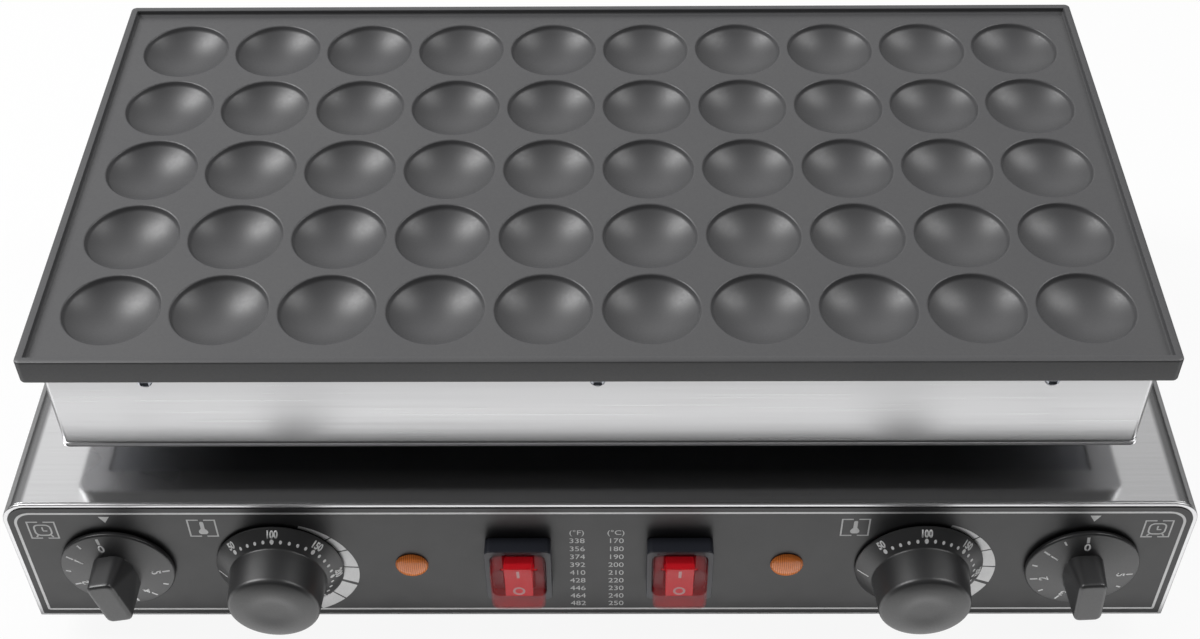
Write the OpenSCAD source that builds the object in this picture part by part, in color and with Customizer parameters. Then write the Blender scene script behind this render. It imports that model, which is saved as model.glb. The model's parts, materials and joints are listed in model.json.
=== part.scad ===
// Countertop mini pancake grill: a cast plate of shallow cups on a stainless heating box,
// which stands on posts above a wide stainless base with two sets of controls.
// Millimetres. +X right, +Y back, +Z up. The origin lies on the table, under the middle of the whole.

/* [Baking plate] */
// Cups in one row
cup_columns = 10; // [9:1:11]
// Rows of cups, an odd number
cup_rows = 5; // [5:2:7]
// Distance between cup centres
cup_pitch = 49.8; // [48:0.1:56]
// Cup diameter at the mouth
cup_d = 45.5; // [38:0.5:46]
// Cup depth
cup_depth = 10.5; // [9:0.5:13]
// Depth of the cup's steep wall
cup_wall_h = 2.25; // [1.5:0.25:4]
// Slope of the cup's steep wall, in degrees from level
cup_wall_slope = 68; // [60:1:75]
// Rounding of the cup's mouth
cup_edge_r = 1; // [0.5:0.25:2]
// Metal left under the deepest point of a cup
cup_floor_t = 7.5; // [3:0.5:9]
// From the outermost cup centres to the side edges of the plate
plate_side_margin = 36.1; // [32:0.1:44]
// From the first row of cups to the front edge of the plate
plate_front_margin = 36.8; // [34:0.1:48]
// From the last row of cups to the back edge of the plate
plate_rear_margin = 36.8; // [32:0.1:48]
// Corner radius of the plate
plate_corner_r = 3; // [2:0.5:12]
// Depth of the plate's edge below the cooking face
plate_lip_h = 10.3; // [6:0.1:13]
// Width of the raised rim
rim_w = 3.8; // [2.5:0.1:4.2]
// Height of the raised rim above the cooking face
rim_h = 3; // [2:0.5:9]
// Thickness of the wall cast under the plate, inside the housing
skirt_t = 6; // [4:0.5:8]
// Depth of that wall below the plate's edge
skirt_h = 16; // [14:0.5:20]

/* [Heating box] */
// How far the plate stands out over the housing
plate_overhang = 7; // [5:0.5:9]
// Height of the housing wall
housing_h = 51; // [48:0.5:64]
// Sheet thickness of the housing and of the base
sheet_t = 1.2; // [0.8:0.1:1.6]
// Outer corner radius of the housing
housing_corner_r = 3; // [2:0.5:6]
// Height of the folded hem along the bottom of the housing
hem_h = 2.6; // [1.6:0.2:5]
// How far the hem stands proud of the wall
hem_t = 0.8; // [0.4:0.1:1.5]
// Width of the flange that carries the housing pan
pan_flange_w = 12; // [10:0.5:16]
// Distance of the outer housing screws from the middle, along the front
housing_screw_x = 206; // [150:1:215]
// Distance of the housing screws from the middle, along the sides
housing_screw_y = 70; // [50:1:90]
// Distance of the housing screws below the plate's edge
housing_screw_drop = 5.6; // [5:0.1:10]
// Thickness of the insulation board
insulation_t = 18; // [12:0.5:20]
// Diameter of the tubular heating elements
element_d = 8; // [6:0.5:9]
// Diameter of a temperature sensor bulb
bulb_d = 6; // [4:0.5:7]
// Length of a temperature sensor bulb
bulb_l = 90; // [60:1:100]
// Thickness of the bars that clamp the elements
clamp_t = 3; // [2:0.5:4]

/* [Base] */
// Height of the rubber feet
foot_h = 18; // [14:0.5:24]
// Height of the base
base_h = 88.5; // [84:0.5:110]
// Radius of the base's round shoulders
base_shoulder_r = 12.5; // [8:0.5:13]
// Clear gap between the base and the housing
air_gap = 16.5; // [10:0.5:30]
// How far the base reaches past the plate on each side
side_ledge = 23.4; // [18:0.2:40]
// How far the base reaches past the plate at the front
front_ledge = 16.2; // [12:0.2:40]
// How far the base reaches past the plate at the back
rear_ledge = 21; // [12:0.2:40]
// Width of the flanges inside the base's ends
end_flange_w = 12; // [9:0.5:13]
// Width of the flanges that carry the bottom cover
cover_flange_w = 15; // [12:0.5:20]
// Outer diameter of a support post
post_d = 22; // [16:1:28]
// Distance of the posts from the middle, across
post_x = 190; // [185:1:200]
// Distance of the posts from the middle, front to back
post_y = 85; // [70:1:92]
// Outer diameter of a wire conduit
conduit_d = 20; // [16:0.5:24]
// Distance of the conduits from the middle
conduit_x = 60; // [50:1:64]
// Largest diameter of a foot
foot_d = 34; // [26:1:40]
// Distance of the feet's centres from the base's sides
foot_inset_x = 62; // [40:1:80]
// Distance of the feet's centres from the base's front and back
foot_inset_y = 48; // [36:1:60]
// Diameter of the cable gland's bore
gland_bore_d = 10; // [6:0.5:12]
// How far the cable gland stands out of the back
gland_out = 21; // [14:0.5:30]

/* [Control panel] */
// Thickness of the control panel plate
panel_t = 1.5; // [1:0.1:2.5]
// Thickness of the printed overlay
overlay_t = 0.5; // [0.2:0.1:1]
// Bare metal border around the overlay
overlay_inset = 2.2; // [1:0.1:4]
// Height of the knob and lamp centres above the base's bottom edge
control_h = 43; // [40:0.5:46]
// Height of the switch centres above the base's bottom edge
switch_h = 45; // [42:0.5:48]
// Distance of the switches from the middle
switch_x = 39; // [34:0.5:42]
// From a switch to its lamp
lamp_spacing = 52.5; // [44:0.5:54]
// From a timer to the side of the base
timer_inset = 48.7; // [44:0.5:54]
// From a temperature knob to its timer
knob_spacing = 79.2; // [72:0.5:84]

/* [Knobs] */
// Diameter of the temperature knob's skirt
temperature_skirt_d = 62; // [56:0.5:66]
// Diameter of the temperature knob's grip where it meets the skirt
temperature_grip_d = 46.6; // [40:0.2:50]
// Diameter of the temperature knob's grip at the cap
temperature_cap_d = 44.4; // [38:0.2:46]
// Height of the temperature knob's skirt
temperature_skirt_h = 7.6; // [6.5:0.1:9]
// Height of the temperature knob in all, above the overlay
temperature_knob_h = 28.4; // [26:0.1:34]
// Diameter of the timer knob's dial
timer_dial_d = 55; // [48:0.5:60]
// Height of the timer knob's dial
timer_dial_h = 5.6; // [5.2:0.1:7]
// Height of the timer knob in all, above the overlay
timer_knob_h = 24; // [22:0.5:27]
// Width of the timer knob's bar at its end
timer_bar_w = 13; // [9:0.5:14]
// Length of the timer knob's bar at its end
timer_bar_l = 28.5; // [20:0.5:30]
// Turn of the left timer knob at rest, anticlockwise from the front
timer_rest_left = 12; // [0:1:15]
// Turn of the right timer knob at rest, anticlockwise from the front
timer_rest_right = 4; // [0:1:15]
// Diameter of the control shafts
shaft_d = 6; // [5:0.5:6.5]
// Diameter of the threaded bushings that hold the controls
bushing_d = 10; // [9:0.5:11]

/* [Switches and lamps] */
// Width of a switch frame
frame_w = 32; // [30:0.5:36]
// Height of a switch frame
frame_h = 38; // [36:0.5:42]
// How far a switch frame stands proud of the overlay
frame_proud = 8.7; // [7:0.1:10]
// Width of the frame's wall around the boot
frame_wall = 2.8; // [2:0.1:3.4]
// How far the boot stands proud of the overlay
boot_proud = 17.4; // [16.5:0.1:20]
// Wall of the boot
boot_t = 1.2; // [0.8:0.1:1.4]
// Width of a rocker
rocker_w = 13.5; // [12:0.5:15]
// Length of a rocker
rocker_l = 26; // [22:0.5:26.5]
// Swing of a rocker from one side to the other, in degrees
rocker_swing = 14; // [8:1:15]
// Diameter of a lamp lens
lamp_d = 16; // [14:0.5:20]
// How far a lamp lens stands proud of the overlay
lamp_proud = 3.4; // [2.4:0.1:6]

/* [Fits] */
// Gap between fixed pieces that slip together
slip_gap = 0.2; // [0.1:0.05:0.3]
// Gap around a turning shaft or pin
run_gap = 0.05; // [0.02:0.01:0.09]
// Gap between the knobs and the overlay
knob_gap = 0.8; // [0.5:0.1:1.2]

/* [Hidden] */
$fn = 48;
left = -1;
right = 1;
sides = [left, right];
// Overlap of a cutting body past the face that it cuts
cut = 1;

// Levels, from the table up
base_z0 = foot_h;
base_z1 = base_z0 + base_h;
house_z0 = base_z1 + air_gap;
house_z1 = house_z0 + housing_h;
face_z = house_z1 + plate_lip_h;
block_z = face_z - cup_depth - cup_floor_t;
pan_z0 = house_z0 + sheet_t;
pan_z1 = pan_z0 + sheet_t;
cover_z1 = base_z0 + sheet_t;

// Plate, housing and base outlines; the cup grid is the middle of the base
cups_w = (cup_columns - 1) * cup_pitch;
plate_w = cups_w + 2 * plate_side_margin;
cups_d = (cup_rows - 1) * cup_pitch;
plate_d = cups_d + plate_front_margin + plate_rear_margin;
base_w = plate_w + 2 * side_ledge;
base_d = plate_d + front_ledge + rear_ledge;
front_y = (temperature_knob_h - gland_out - base_d) / 2;
back_y = front_y + base_d;
plate_y0 = front_y + front_ledge;
plate_y1 = plate_y0 + plate_d;
plate_yc = (plate_y0 + plate_y1) / 2;
grid_y = plate_y0 + plate_front_margin + cups_d / 2;
housing_w = plate_w - 2 * plate_overhang;
housing_d = plate_d - 2 * plate_overhang;
rim_corner_r = max(plate_corner_r - rim_w, 1);
block_w = housing_w - 2 * (sheet_t + slip_gap);
block_d = housing_d - 2 * (sheet_t + slip_gap);
shell_y0 = front_y + overlay_t + panel_t;
shell_y1 = back_y - panel_t;
shell_d = shell_y1 - shell_y0;

// Cup section: a shallow bowl under a steep wall; the rounded mouth stops a little short of tangent
cup_r = cup_d / 2;
floor_r = cup_r - cup_wall_h / tan(cup_wall_slope);
bowl_h = cup_depth - cup_wall_h;
bowl_r = (floor_r * floor_r + bowl_h * bowl_h) / (2 * bowl_h);
edge_lift = 0.03;
edge_run = cup_edge_r * tan(cup_wall_slope / 2);
edge_x = cup_r + edge_run;
edge_low = [cup_r - edge_run * cos(cup_wall_slope), -edge_run * sin(cup_wall_slope)];

// Heating elements run between the rows of cups; bars cross them between the columns
element_r = element_d / 2;
element_z = block_z - slip_gap - element_r;
element_bend = cup_pitch / 2;
element_in_x = 40;
element_out_x = (cup_columns / 2 - 0.5) * cup_pitch;
pin_r = 2;
pin_l = 12;
clamp_z1 = element_z - element_r - slip_gap;
clamp_z0 = clamp_z1 - clamp_t;
clamp_w = 18;
bulb_pad_r = 6;
clamp_columns = [cup_columns / 2 - 2, cup_columns / 2 - 3];
stud_y = (cup_rows - 3) / 2 * cup_pitch;
stud_r = 3;
stud_depth = 8;
nut_r = 5.7;
nut_h = 4.6;
bulb_z = block_z - slip_gap - bulb_d / 2;
bulb_start = conduit_x + conduit_d * 1.25;
conduit_hole_r = conduit_d / 2 + slip_gap;
capillary_r = 1.2;
capillary_bend = 8;

// Screws: shank radius, pan head radius and height, clearance hole radius
screw_r = 2;
screw_head_r = 3.6;
screw_head_h = 2.2;
screw_hole_r = screw_r + slip_gap;
screw_bite_r = screw_r + run_gap;
cover_screw_inset = 30;
bolt_r = 4;
bolt_hole_r = bolt_r + slip_gap;
bolt_head_r = 7.5;
bolt_head_h = 5.3;
bolt_past = 9;
foot_screw_r = 2.5;
foot_screw_head_r = 5;
foot_screw_head_h = 3;
foot_screw_sink = 5;
foot_screw_past = 6;
foot_nut_r = 4.6;
foot_nut_h = 4;
hex_sides = 6;

// Controls, in panel coordinates: x across, y up, z out of the overlay towards the user
stack_t = overlay_t + panel_t;
shaft_r = shaft_d / 2;
bushing_r = bushing_d / 2;
bushing_out = 3.2;
bushing_nut_r = 8;
bushing_nut_h = 2.2;
body_side = 44;
timer_body_l = 38;
thermostat_body_l = 30;
thermostat_body_h = 35;
bore_depth = 14;
hub_z = bushing_out + 0.5;
knob_crown = 8;
timer_bore_z = timer_knob_h - knob_crown;
temperature_bore_z = temperature_knob_h - knob_crown;
timer_x = base_w / 2 - timer_inset;
temperature_x = timer_x - knob_spacing;
lamp_x = switch_x + lamp_spacing;
boot_w = frame_w - 2 * (frame_wall + slip_gap);
boot_h = frame_h - 2 * (frame_wall + slip_gap);
boot_seat = 5;
boot_r = 4;
frame_r = 3;
switch_body_l = 26;
pivot_z = 3.5;
pivot_r = 1.5;
pivot_in = 1.2;
rocker_gap = 0.75;
rocker_face = 12.2;
rocker_dip = 1.8;
rocker_end_t = 3;
lamp_stem_r = lamp_d / 2 - 1.6;
lamp_stem_l = 5;
lamp_wall = 1;

// Terminal block, wire looms and gland
terminal_w = 100;
terminal_hole_r = 3;
terminal_d = 28;
terminal_h = 22;
terminal_back = 70;
terminal_y0 = back_y - terminal_back;
loom_r = 3;
loom_bend = 10;
loom_run = 60;
gland_inset = 83.6;
gland_x = base_w / 2 - gland_inset;
gland_h = 42;
gland_thread_r = gland_bore_d / 2 + 4.5;
gland_flange_r = gland_thread_r + 5;
gland_flange_h = 5;
gland_in = 14;

function unit(v) = v / norm(v);

// A solid that stands in the XZ plane, from y to y + t
module upright(y, t) {
  translate([0, y + t, 0]) rotate([90, 0, 0]) linear_extrude(t) children();
}

// Places its children on the overlay's face, in panel coordinates
module on_panel(x, h) {
  translate([x, front_y, base_z0 + h]) rotate([90, 0, 0]) children();
}

// Rectangle with round corners, about its middle
module rounded_rect(w, d, r) {
  square([w - 2 * r, d], center = true);
  square([w, d - 2 * r], center = true);
  for (x = sides, y = sides) translate([x * (w / 2 - r), y * (d / 2 - r)]) circle(r);
}

// Outline of the base: square foot, round shoulders
module shoulder_outline(w, h, r) {
  translate([-w / 2, 0]) square([w, h - r]);
  translate([r - w / 2, 0]) square([w - 2 * r, h]);
  for (x = sides) translate([x * (w / 2 - r), h - r]) circle(r);
}

// Straight tube from a to b
module straight(a, b, r) {
  d = unit(b - a);
  if (norm(b - a) > 0.01)
    translate(a) rotate([0, acos(d[2]), atan2(d[1], d[0])]) cylinder(r = r, h = norm(b - a));
}

// Quarter bend from direction d1 into direction d2, about its own centre
module elbow(d1, d2, bend, r) {
  n = cross(d1, d2);
  multmatrix([
    [-d2[0], d1[0], n[0], 0],
    [-d2[1], d1[1], n[1], 0],
    [-d2[2], d1[2], n[2], 0],
    [0, 0, 0, 1]
  ]) rotate_extrude(angle = 90) translate([bend, 0]) circle(r);
}

// Tube along a run of points, with a quarter bend at each inner point
module pipe_run(points, r, bend) {
  last = len(points) - 1;
  for (i = [0 : last - 1]) {
    d = unit(points[i + 1] - points[i]);
    from = i > 0 ? bend : 0;
    to = i < last - 1 ? bend : 0;
    straight(points[i] + from * d, points[i + 1] - to * d, r);
  }
  for (i = [1 : last - 1]) {
    d1 = unit(points[i] - points[i - 1]);
    d2 = unit(points[i + 1] - points[i]);
    translate(points[i] + bend * (d2 - d1)) elbow(d1, d2, bend, r);
  }
}

// Pan head screw along -Z, with its head on the plane z = 0
module pan_screw(length) {
  rotate_extrude() polygon([
    [0, -length], [screw_r, -length], [screw_r, 0], [screw_head_r, 0],
    [screw_head_r, screw_head_h * 0.5], [screw_head_r * 0.8, screw_head_h * 0.85], [0, screw_head_h]
  ]);
}

// Cutter for a round hole through a sheet that lies from z0 to z1
module drill(r, z0, z1) {
  translate([0, 0, z0 - cut]) cylinder(r = r, h = z1 - z0 + 2 * cut);
}

// Hexagon nut, standing on the plane z = 0
module hex_nut(r, hole_r, h) {
  difference() {
    cylinder(r = r, h = h, $fn = hex_sides);
    drill(hole_r, 0, h);
  }
}

module at_posts() {
  for (x = sides, y = sides) translate([x * post_x, grid_y + y * post_y, 0]) children();
}

module at_conduits() {
  for (x = sides) translate([x * conduit_x, grid_y, 0]) children();
}

module at_feet() {
  for (x = sides, y = [front_y + foot_inset_y, back_y - foot_inset_y])
    translate([x * (base_w / 2 - foot_inset_x), y, 0]) children();
}

module at_studs() {
  for (x = sides, k = clamp_columns, y = sides)
    translate([x * k * cup_pitch, grid_y + y * stud_y, 0]) children();
}

// Housing screws point into the plate's wall; z = 0 is the outer face of the housing
module at_housing_screws() {
  screw_z = house_z1 - housing_screw_drop;
  for (x = [-housing_screw_x, 0, housing_screw_x]) {
    translate([x, plate_yc - housing_d / 2, screw_z]) rotate([90, 0, 0]) children();
    translate([x, plate_yc + housing_d / 2, screw_z]) rotate([-90, 0, 0]) children();
  }
  for (s = sides, y = sides)
    translate([s * housing_w / 2, plate_yc + y * housing_screw_y, screw_z])
      rotate([0, s * 90, 0]) children();
}

// Pan screws point up through the flange; z = 0 is the flange's underside
module at_pan_screws() {
  edge = pan_flange_w / 2;
  for (x = sides, y = sides)
    translate([x * (housing_w / 2 - edge), plate_yc + y * housing_screw_y, house_z0])
      rotate([180, 0, 0]) children();
  for (x = sides)
    translate([x * housing_screw_x / 2, plate_yc + housing_d / 2 - edge, house_z0])
      rotate([180, 0, 0]) children();
}

// Cover screws point up through the bottom cover
module at_cover_screws() {
  reach = shell_d / 2 - cover_screw_inset;
  mid_y = (shell_y0 + shell_y1) / 2;
  for (x = sides, y = [-reach, 0, reach])
    translate([x * (base_w / 2 - sheet_t - cover_flange_w / 2), mid_y + y, base_z0])
      rotate([180, 0, 0]) children();
}

// Rear screws point forward through the rear panel; z = 0 is its outer face
module at_rear_screws() {
  edge = end_flange_w / 2;
  for (x = [-base_w / 2 + edge, base_w / 2 - edge], h = [base_h * 0.2, base_h * 0.7])
    translate([x, back_y, base_z0 + h]) rotate([-90, 0, 0]) children();
  for (x = [-base_w / 4, 0, base_w / 4])
    translate([x, back_y, base_z1 - edge]) rotate([-90, 0, 0]) children();
}

module cup_section() {
  difference() {
    union() {
      intersection() {
        translate([0, bowl_r - cup_depth]) circle(bowl_r);
        translate([0, -cup_depth - cut]) square([floor_r, bowl_h + cut]);
      }
      polygon([
        [0, cut], [0, -cup_wall_h - bowl_h / 2], [floor_r, -cup_wall_h], edge_low, [edge_x, 0], [edge_x, cut]
      ]);
    }
    translate([edge_x, edge_lift - cup_edge_r]) circle(cup_edge_r);
  }
}

module baking_plate() {
  color("dimgray") difference() {
    union() {
      translate([0, plate_yc, house_z1]) linear_extrude(plate_lip_h + rim_h)
        rounded_rect(plate_w, plate_d, plate_corner_r);
      translate([-block_w / 2, plate_yc - block_d / 2, house_z1 - skirt_h])
        cube([block_w, block_d, skirt_h + cut]);
    }
    translate([0, plate_yc, face_z]) linear_extrude(rim_h + cut)
      rounded_rect(plate_w - 2 * rim_w, plate_d - 2 * rim_w, rim_corner_r);
    translate([skirt_t - block_w / 2, plate_yc + skirt_t - block_d / 2, house_z1 - skirt_h - cut])
      cube([block_w - 2 * skirt_t, block_d - 2 * skirt_t, block_z - house_z1 + skirt_h + cut]);
    for (i = [0 : cup_columns - 1], j = [0 : cup_rows - 1])
      translate([i * cup_pitch - cups_w / 2, grid_y + j * cup_pitch - cups_d / 2, face_z])
        rotate_extrude() cup_section();
    at_studs() translate([0, 0, block_z - cut]) cylinder(r = stud_r + run_gap, h = stud_depth + cut);
    at_housing_screws() drill(screw_bite_r, -sheet_t - slip_gap - skirt_t - cut, -sheet_t - slip_gap);
  }
}

module upper_housing() {
  color("silver") difference() {
    translate([0, plate_yc, house_z0]) difference() {
      union() {
        linear_extrude(housing_h) rounded_rect(housing_w, housing_d, housing_corner_r);
        linear_extrude(hem_h)
          rounded_rect(housing_w + 2 * hem_t, housing_d + 2 * hem_t, housing_corner_r + hem_t);
      }
      translate([0, 0, sheet_t]) linear_extrude(housing_h)
        square([housing_w - 2 * sheet_t, housing_d - 2 * sheet_t], center = true);
      translate([0, 0, -cut]) linear_extrude(housing_h)
        square([housing_w - 2 * pan_flange_w, housing_d - 2 * pan_flange_w], center = true);
    }
    at_housing_screws() drill(screw_hole_r, -sheet_t, 0);
    at_pan_screws() drill(screw_hole_r, -sheet_t, 0);
  }
}

module housing_screws() {
  color("gainsboro") at_housing_screws() pan_screw(sheet_t + slip_gap + skirt_t);
}

module housing_pan() {
  inner_w = housing_w - 2 * (sheet_t + slip_gap);
  inner_d = housing_d - 2 * (sheet_t + slip_gap);
  color("lightgray") difference() {
    translate([-inner_w / 2, plate_yc - inner_d / 2, pan_z0]) cube([inner_w, inner_d, sheet_t]);
    at_posts() drill(bolt_hole_r, pan_z0, pan_z1);
    at_conduits() drill(conduit_hole_r, pan_z0, pan_z1);
    at_pan_screws() drill(screw_bite_r, -2 * sheet_t, -sheet_t);
  }
}

module pan_screws() {
  color("gainsboro") at_pan_screws() pan_screw(2 * sheet_t);
}

module insulation_board() {
  edge = pan_flange_w + 2;
  color("ivory") difference() {
    translate([edge - housing_w / 2, plate_yc + edge - housing_d / 2, pan_z1])
      cube([housing_w - 2 * edge, housing_d - 2 * edge, insulation_t]);
    at_posts() drill(bolt_head_r + 1, pan_z1, pan_z1 + insulation_t);
    at_conduits() drill(conduit_hole_r, pan_z1, pan_z1 + insulation_t);
  }
}

// Sheath that snakes between the rows of cups, with a terminal pin at each end
module heating_element(side) {
  legs = cup_rows - 1;
  leg_y = [for (j = [0 : legs - 1]) grid_y + (j - (legs - 1) / 2) * cup_pitch];
  turns = [for (j = [0 : legs - 1]) let (near = side * element_in_x, far = side * element_out_x)
    each j % 2 == 0 ? [[near, leg_y[j], element_z], [far, leg_y[j], element_z]]
      : [[far, leg_y[j], element_z], [near, leg_y[j], element_z]]];
  color("slategray") {
    pipe_run(turns, element_r, element_bend);
    for (y = [leg_y[0], leg_y[legs - 1]])
      straight([side * element_in_x, y, element_z], [side * (element_in_x - pin_l), y, element_z], pin_r);
  }
}

// Bars under the elements; a pad on each carries the sensor bulb
module clamp_bars() {
  length = (cup_rows - 1) * cup_pitch;
  color("lightsteelblue") difference() {
    for (s = sides, k = clamp_columns) translate([s * k * cup_pitch, grid_y, 0]) {
      translate([-clamp_w / 2, -length / 2, clamp_z0]) cube([clamp_w, length, clamp_t]);
      translate([0, 0, clamp_z0]) cylinder(r = bulb_pad_r, h = bulb_z - bulb_d / 2 - slip_gap - clamp_z0);
    }
    at_studs() drill(stud_r + slip_gap, clamp_z0, clamp_z1);
  }
}

module clamp_studs() {
  bottom = clamp_z0 - nut_h - 2;
  color("gainsboro") at_studs()
    translate([0, 0, bottom]) cylinder(r = stud_r, h = block_z + stud_depth - slip_gap - bottom);
}

module clamp_nuts() {
  color("gainsboro") at_studs() translate([0, 0, clamp_z0 - nut_h])
    hex_nut(nut_r, stud_r + run_gap, nut_h);
}

// Bulb under the plate and the capillary from it, through the conduit, to the thermostat
module sensor(side) {
  start_x = side * temperature_x - side * body_side / 4;
  start_y = front_y + stack_t + thermostat_body_l;
  low_z = base_z0 + control_h;
  color("peru") {
    pipe_run([
      [start_x, start_y, low_z],
      [start_x, grid_y, low_z],
      [side * conduit_x, grid_y, low_z],
      [side * conduit_x, grid_y, bulb_z],
      [side * bulb_start, grid_y, bulb_z]
    ], capillary_r, capillary_bend);
    translate([side * bulb_start, grid_y, bulb_z]) rotate([0, side * 90, 0])
      cylinder(d = bulb_d, h = bulb_l);
  }
}

module support_posts() {
  color("silver") at_posts() translate([0, 0, base_z1]) difference() {
    cylinder(d = post_d, h = pan_z0 - base_z1);
    drill(bolt_hole_r, 0, pan_z0 - base_z1);
  }
}

module post_bolts() {
  shank = pan_z1 - base_z1 + sheet_t + bolt_past;
  color("gainsboro") at_posts() {
    translate([0, 0, pan_z1]) cylinder(r = bolt_head_r, h = bolt_head_h, $fn = hex_sides);
    translate([0, 0, pan_z1 - shank]) cylinder(r = bolt_r, h = shank);
  }
}

module post_nuts() {
  height = 6.5;
  color("gainsboro") at_posts() translate([0, 0, base_z1 - sheet_t - height])
    hex_nut(bolt_head_r, bolt_r + run_gap, height);
}

// Tubes that carry the leads and capillaries; a collar rests on the base
module wire_conduits() {
  wall = 1.5;
  past = 3;
  collar_h = 2;
  bottom = base_z1 - sheet_t - past;
  top = pan_z1 + past;
  color("darkgray") at_conduits() difference() {
    union() {
      translate([0, 0, bottom]) cylinder(d = conduit_d, h = top - bottom);
      translate([0, 0, base_z1]) cylinder(d = conduit_d + 6, h = collar_h);
    }
    drill(conduit_d / 2 - wall, bottom, top);
  }
}

// Top and sides in one bent sheet, with flanges for the end plates and the bottom cover
module base_shell() {
  color("silver") difference() {
    union() {
      translate([0, 0, base_z0]) upright(shell_y0, shell_d) difference() {
        shoulder_outline(base_w, base_h, base_shoulder_r);
        translate([0, -cut])
          shoulder_outline(base_w - 2 * sheet_t, base_h - sheet_t + cut, base_shoulder_r - sheet_t);
      }
      for (y = [shell_y0, shell_y1 - sheet_t])
        translate([0, 0, base_z0]) upright(y, sheet_t) difference() {
          shoulder_outline(base_w, base_h, base_shoulder_r);
          translate([end_flange_w - base_w / 2, -cut])
            square([base_w - 2 * end_flange_w, base_h - end_flange_w + cut]);
        }
      for (x = [sheet_t / 2 - base_w / 2, base_w / 2 - sheet_t / 2 - cover_flange_w])
        translate([x, shell_y0 + sheet_t / 2, cover_z1]) cube([cover_flange_w, shell_d - sheet_t, sheet_t]);
    }
    at_posts() drill(bolt_hole_r, base_z1 - sheet_t, base_z1);
    at_conduits() drill(conduit_hole_r, base_z1 - sheet_t, base_z1);
    at_cover_screws() drill(screw_bite_r, -2 * sheet_t, -sheet_t);
    at_rear_screws() drill(screw_bite_r, -panel_t - sheet_t, -panel_t);
  }
}

module bottom_cover() {
  slot_w = 4;
  slot_l = 50;
  slot_pitch = 14;
  half_w = base_w / 2 - sheet_t - slip_gap;
  y0 = shell_y0 + sheet_t + slip_gap;
  y1 = shell_y1 - sheet_t - slip_gap;
  color("lightgray") difference() {
    translate([-half_w, y0, base_z0]) cube([2 * half_w, y1 - y0, sheet_t]);
    for (x = sides, k = [-5 : 5])
      translate([x * base_w / 5 + k * slot_pitch - slot_w / 2, grid_y - slot_l / 2, base_z0 - cut])
        cube([slot_w, slot_l, sheet_t + 2 * cut]);
    at_cover_screws() drill(screw_hole_r, -sheet_t, 0);
    at_feet() drill(foot_screw_r + slip_gap, base_z0, cover_z1);
  }
}

module cover_screws() {
  color("gainsboro") at_cover_screws() pan_screw(2 * sheet_t);
}

module rear_panel() {
  slot_w = 4;
  slot_l = 34;
  slot_pitch = 12;
  color("silver") difference() {
    translate([0, 0, base_z0]) upright(back_y - panel_t, panel_t) difference() {
      shoulder_outline(base_w, base_h, base_shoulder_r);
      for (x = [-base_w / 5, 0], k = [-4 : 4])
        translate([x + k * slot_pitch - slot_w / 2, base_h * 0.3]) square([slot_w, slot_l]);
      translate([gland_x, gland_h]) circle(gland_thread_r + slip_gap);
    }
    at_rear_screws() drill(screw_hole_r, -panel_t, 0);
  }
}

module rear_screws() {
  color("gainsboro") at_rear_screws() pan_screw(panel_t + sheet_t);
}

module feet() {
  color("dimgray") at_feet() difference() {
    cylinder(d1 = foot_d - 4, d2 = foot_d, h = foot_h);
    translate([0, 0, -cut])
      cylinder(r = foot_screw_head_r + slip_gap, h = foot_screw_sink + foot_screw_head_h + cut);
    cylinder(r = foot_screw_r + slip_gap, h = foot_h + cut);
  }
}

module foot_screws() {
  head_z = foot_screw_sink + foot_screw_head_h;
  color("gainsboro") at_feet() {
    translate([0, 0, foot_screw_sink]) cylinder(r = foot_screw_head_r, h = foot_screw_head_h);
    translate([0, 0, head_z]) cylinder(r = foot_screw_r, h = cover_z1 + foot_screw_past - head_z);
  }
}

module foot_nuts() {
  color("gainsboro") at_feet() translate([0, 0, cover_z1])
    hex_nut(foot_nut_r, foot_screw_r + run_gap, foot_nut_h);
}

// Holes of the control panel, in panel coordinates about the panel's middle and bottom edge
module panel_holes(extra) {
  for (s = sides) {
    for (x = [timer_x, temperature_x]) translate([s * x, control_h]) circle(bushing_r + slip_gap + extra);
    translate([s * lamp_x, control_h]) circle(lamp_stem_r + slip_gap + extra);
    translate([s * switch_x, switch_h])
      square([boot_w + 2 * (slip_gap + extra), boot_h + 2 * (slip_gap + extra)], center = true);
  }
}

module control_panel() {
  color("silver") translate([0, 0, base_z0]) upright(front_y + overlay_t, panel_t) difference() {
    shoulder_outline(base_w, base_h, base_shoulder_r);
    panel_holes(0);
  }
}

module panel_overlay() {
  w = base_w - 2 * overlay_inset;
  h = base_h - 2 * overlay_inset;
  color("black") translate([0, 0, base_z0]) upright(front_y, overlay_t) difference() {
    translate([0, overlay_inset]) shoulder_outline(w, h, base_shoulder_r - overlay_inset);
    panel_holes(0.2);
  }
}

module bushing_nuts() {
  color("gainsboro") for (x = [-timer_x, -temperature_x, temperature_x, timer_x])
    on_panel(x, control_h) hex_nut(bushing_nut_r, bushing_r + run_gap, bushing_nut_h);
}

// Control body behind the panel, with its threaded bushing and shaft bore
module control_body(length, height) {
  difference() {
    union() {
      translate([-body_side / 2, -height / 2, -stack_t - length]) cube([body_side, height, length]);
      translate([0, 0, -stack_t - cut]) cylinder(r = bushing_r, h = stack_t + cut + bushing_out);
    }
    translate([0, 0, -bore_depth]) cylinder(r = shaft_r + run_gap, h = bore_depth + bushing_out + cut);
  }
}

module timer(side) {
  color("whitesmoke") on_panel(side * timer_x, control_h) control_body(timer_body_l, body_side);
}

module thermostat(side) {
  color("gainsboro") on_panel(side * temperature_x, control_h)
    control_body(thermostat_body_l, thermostat_body_h);
}

module control_shaft(x, top) {
  end_gap = 0.5;
  color("lightsteelblue") on_panel(x, control_h)
    translate([0, 0, end_gap - bore_depth]) cylinder(r = shaft_r, h = top - slip_gap - end_gap + bore_depth);
}

module timer_shaft(side) {
  control_shaft(side * timer_x, timer_bore_z);
}

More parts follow.
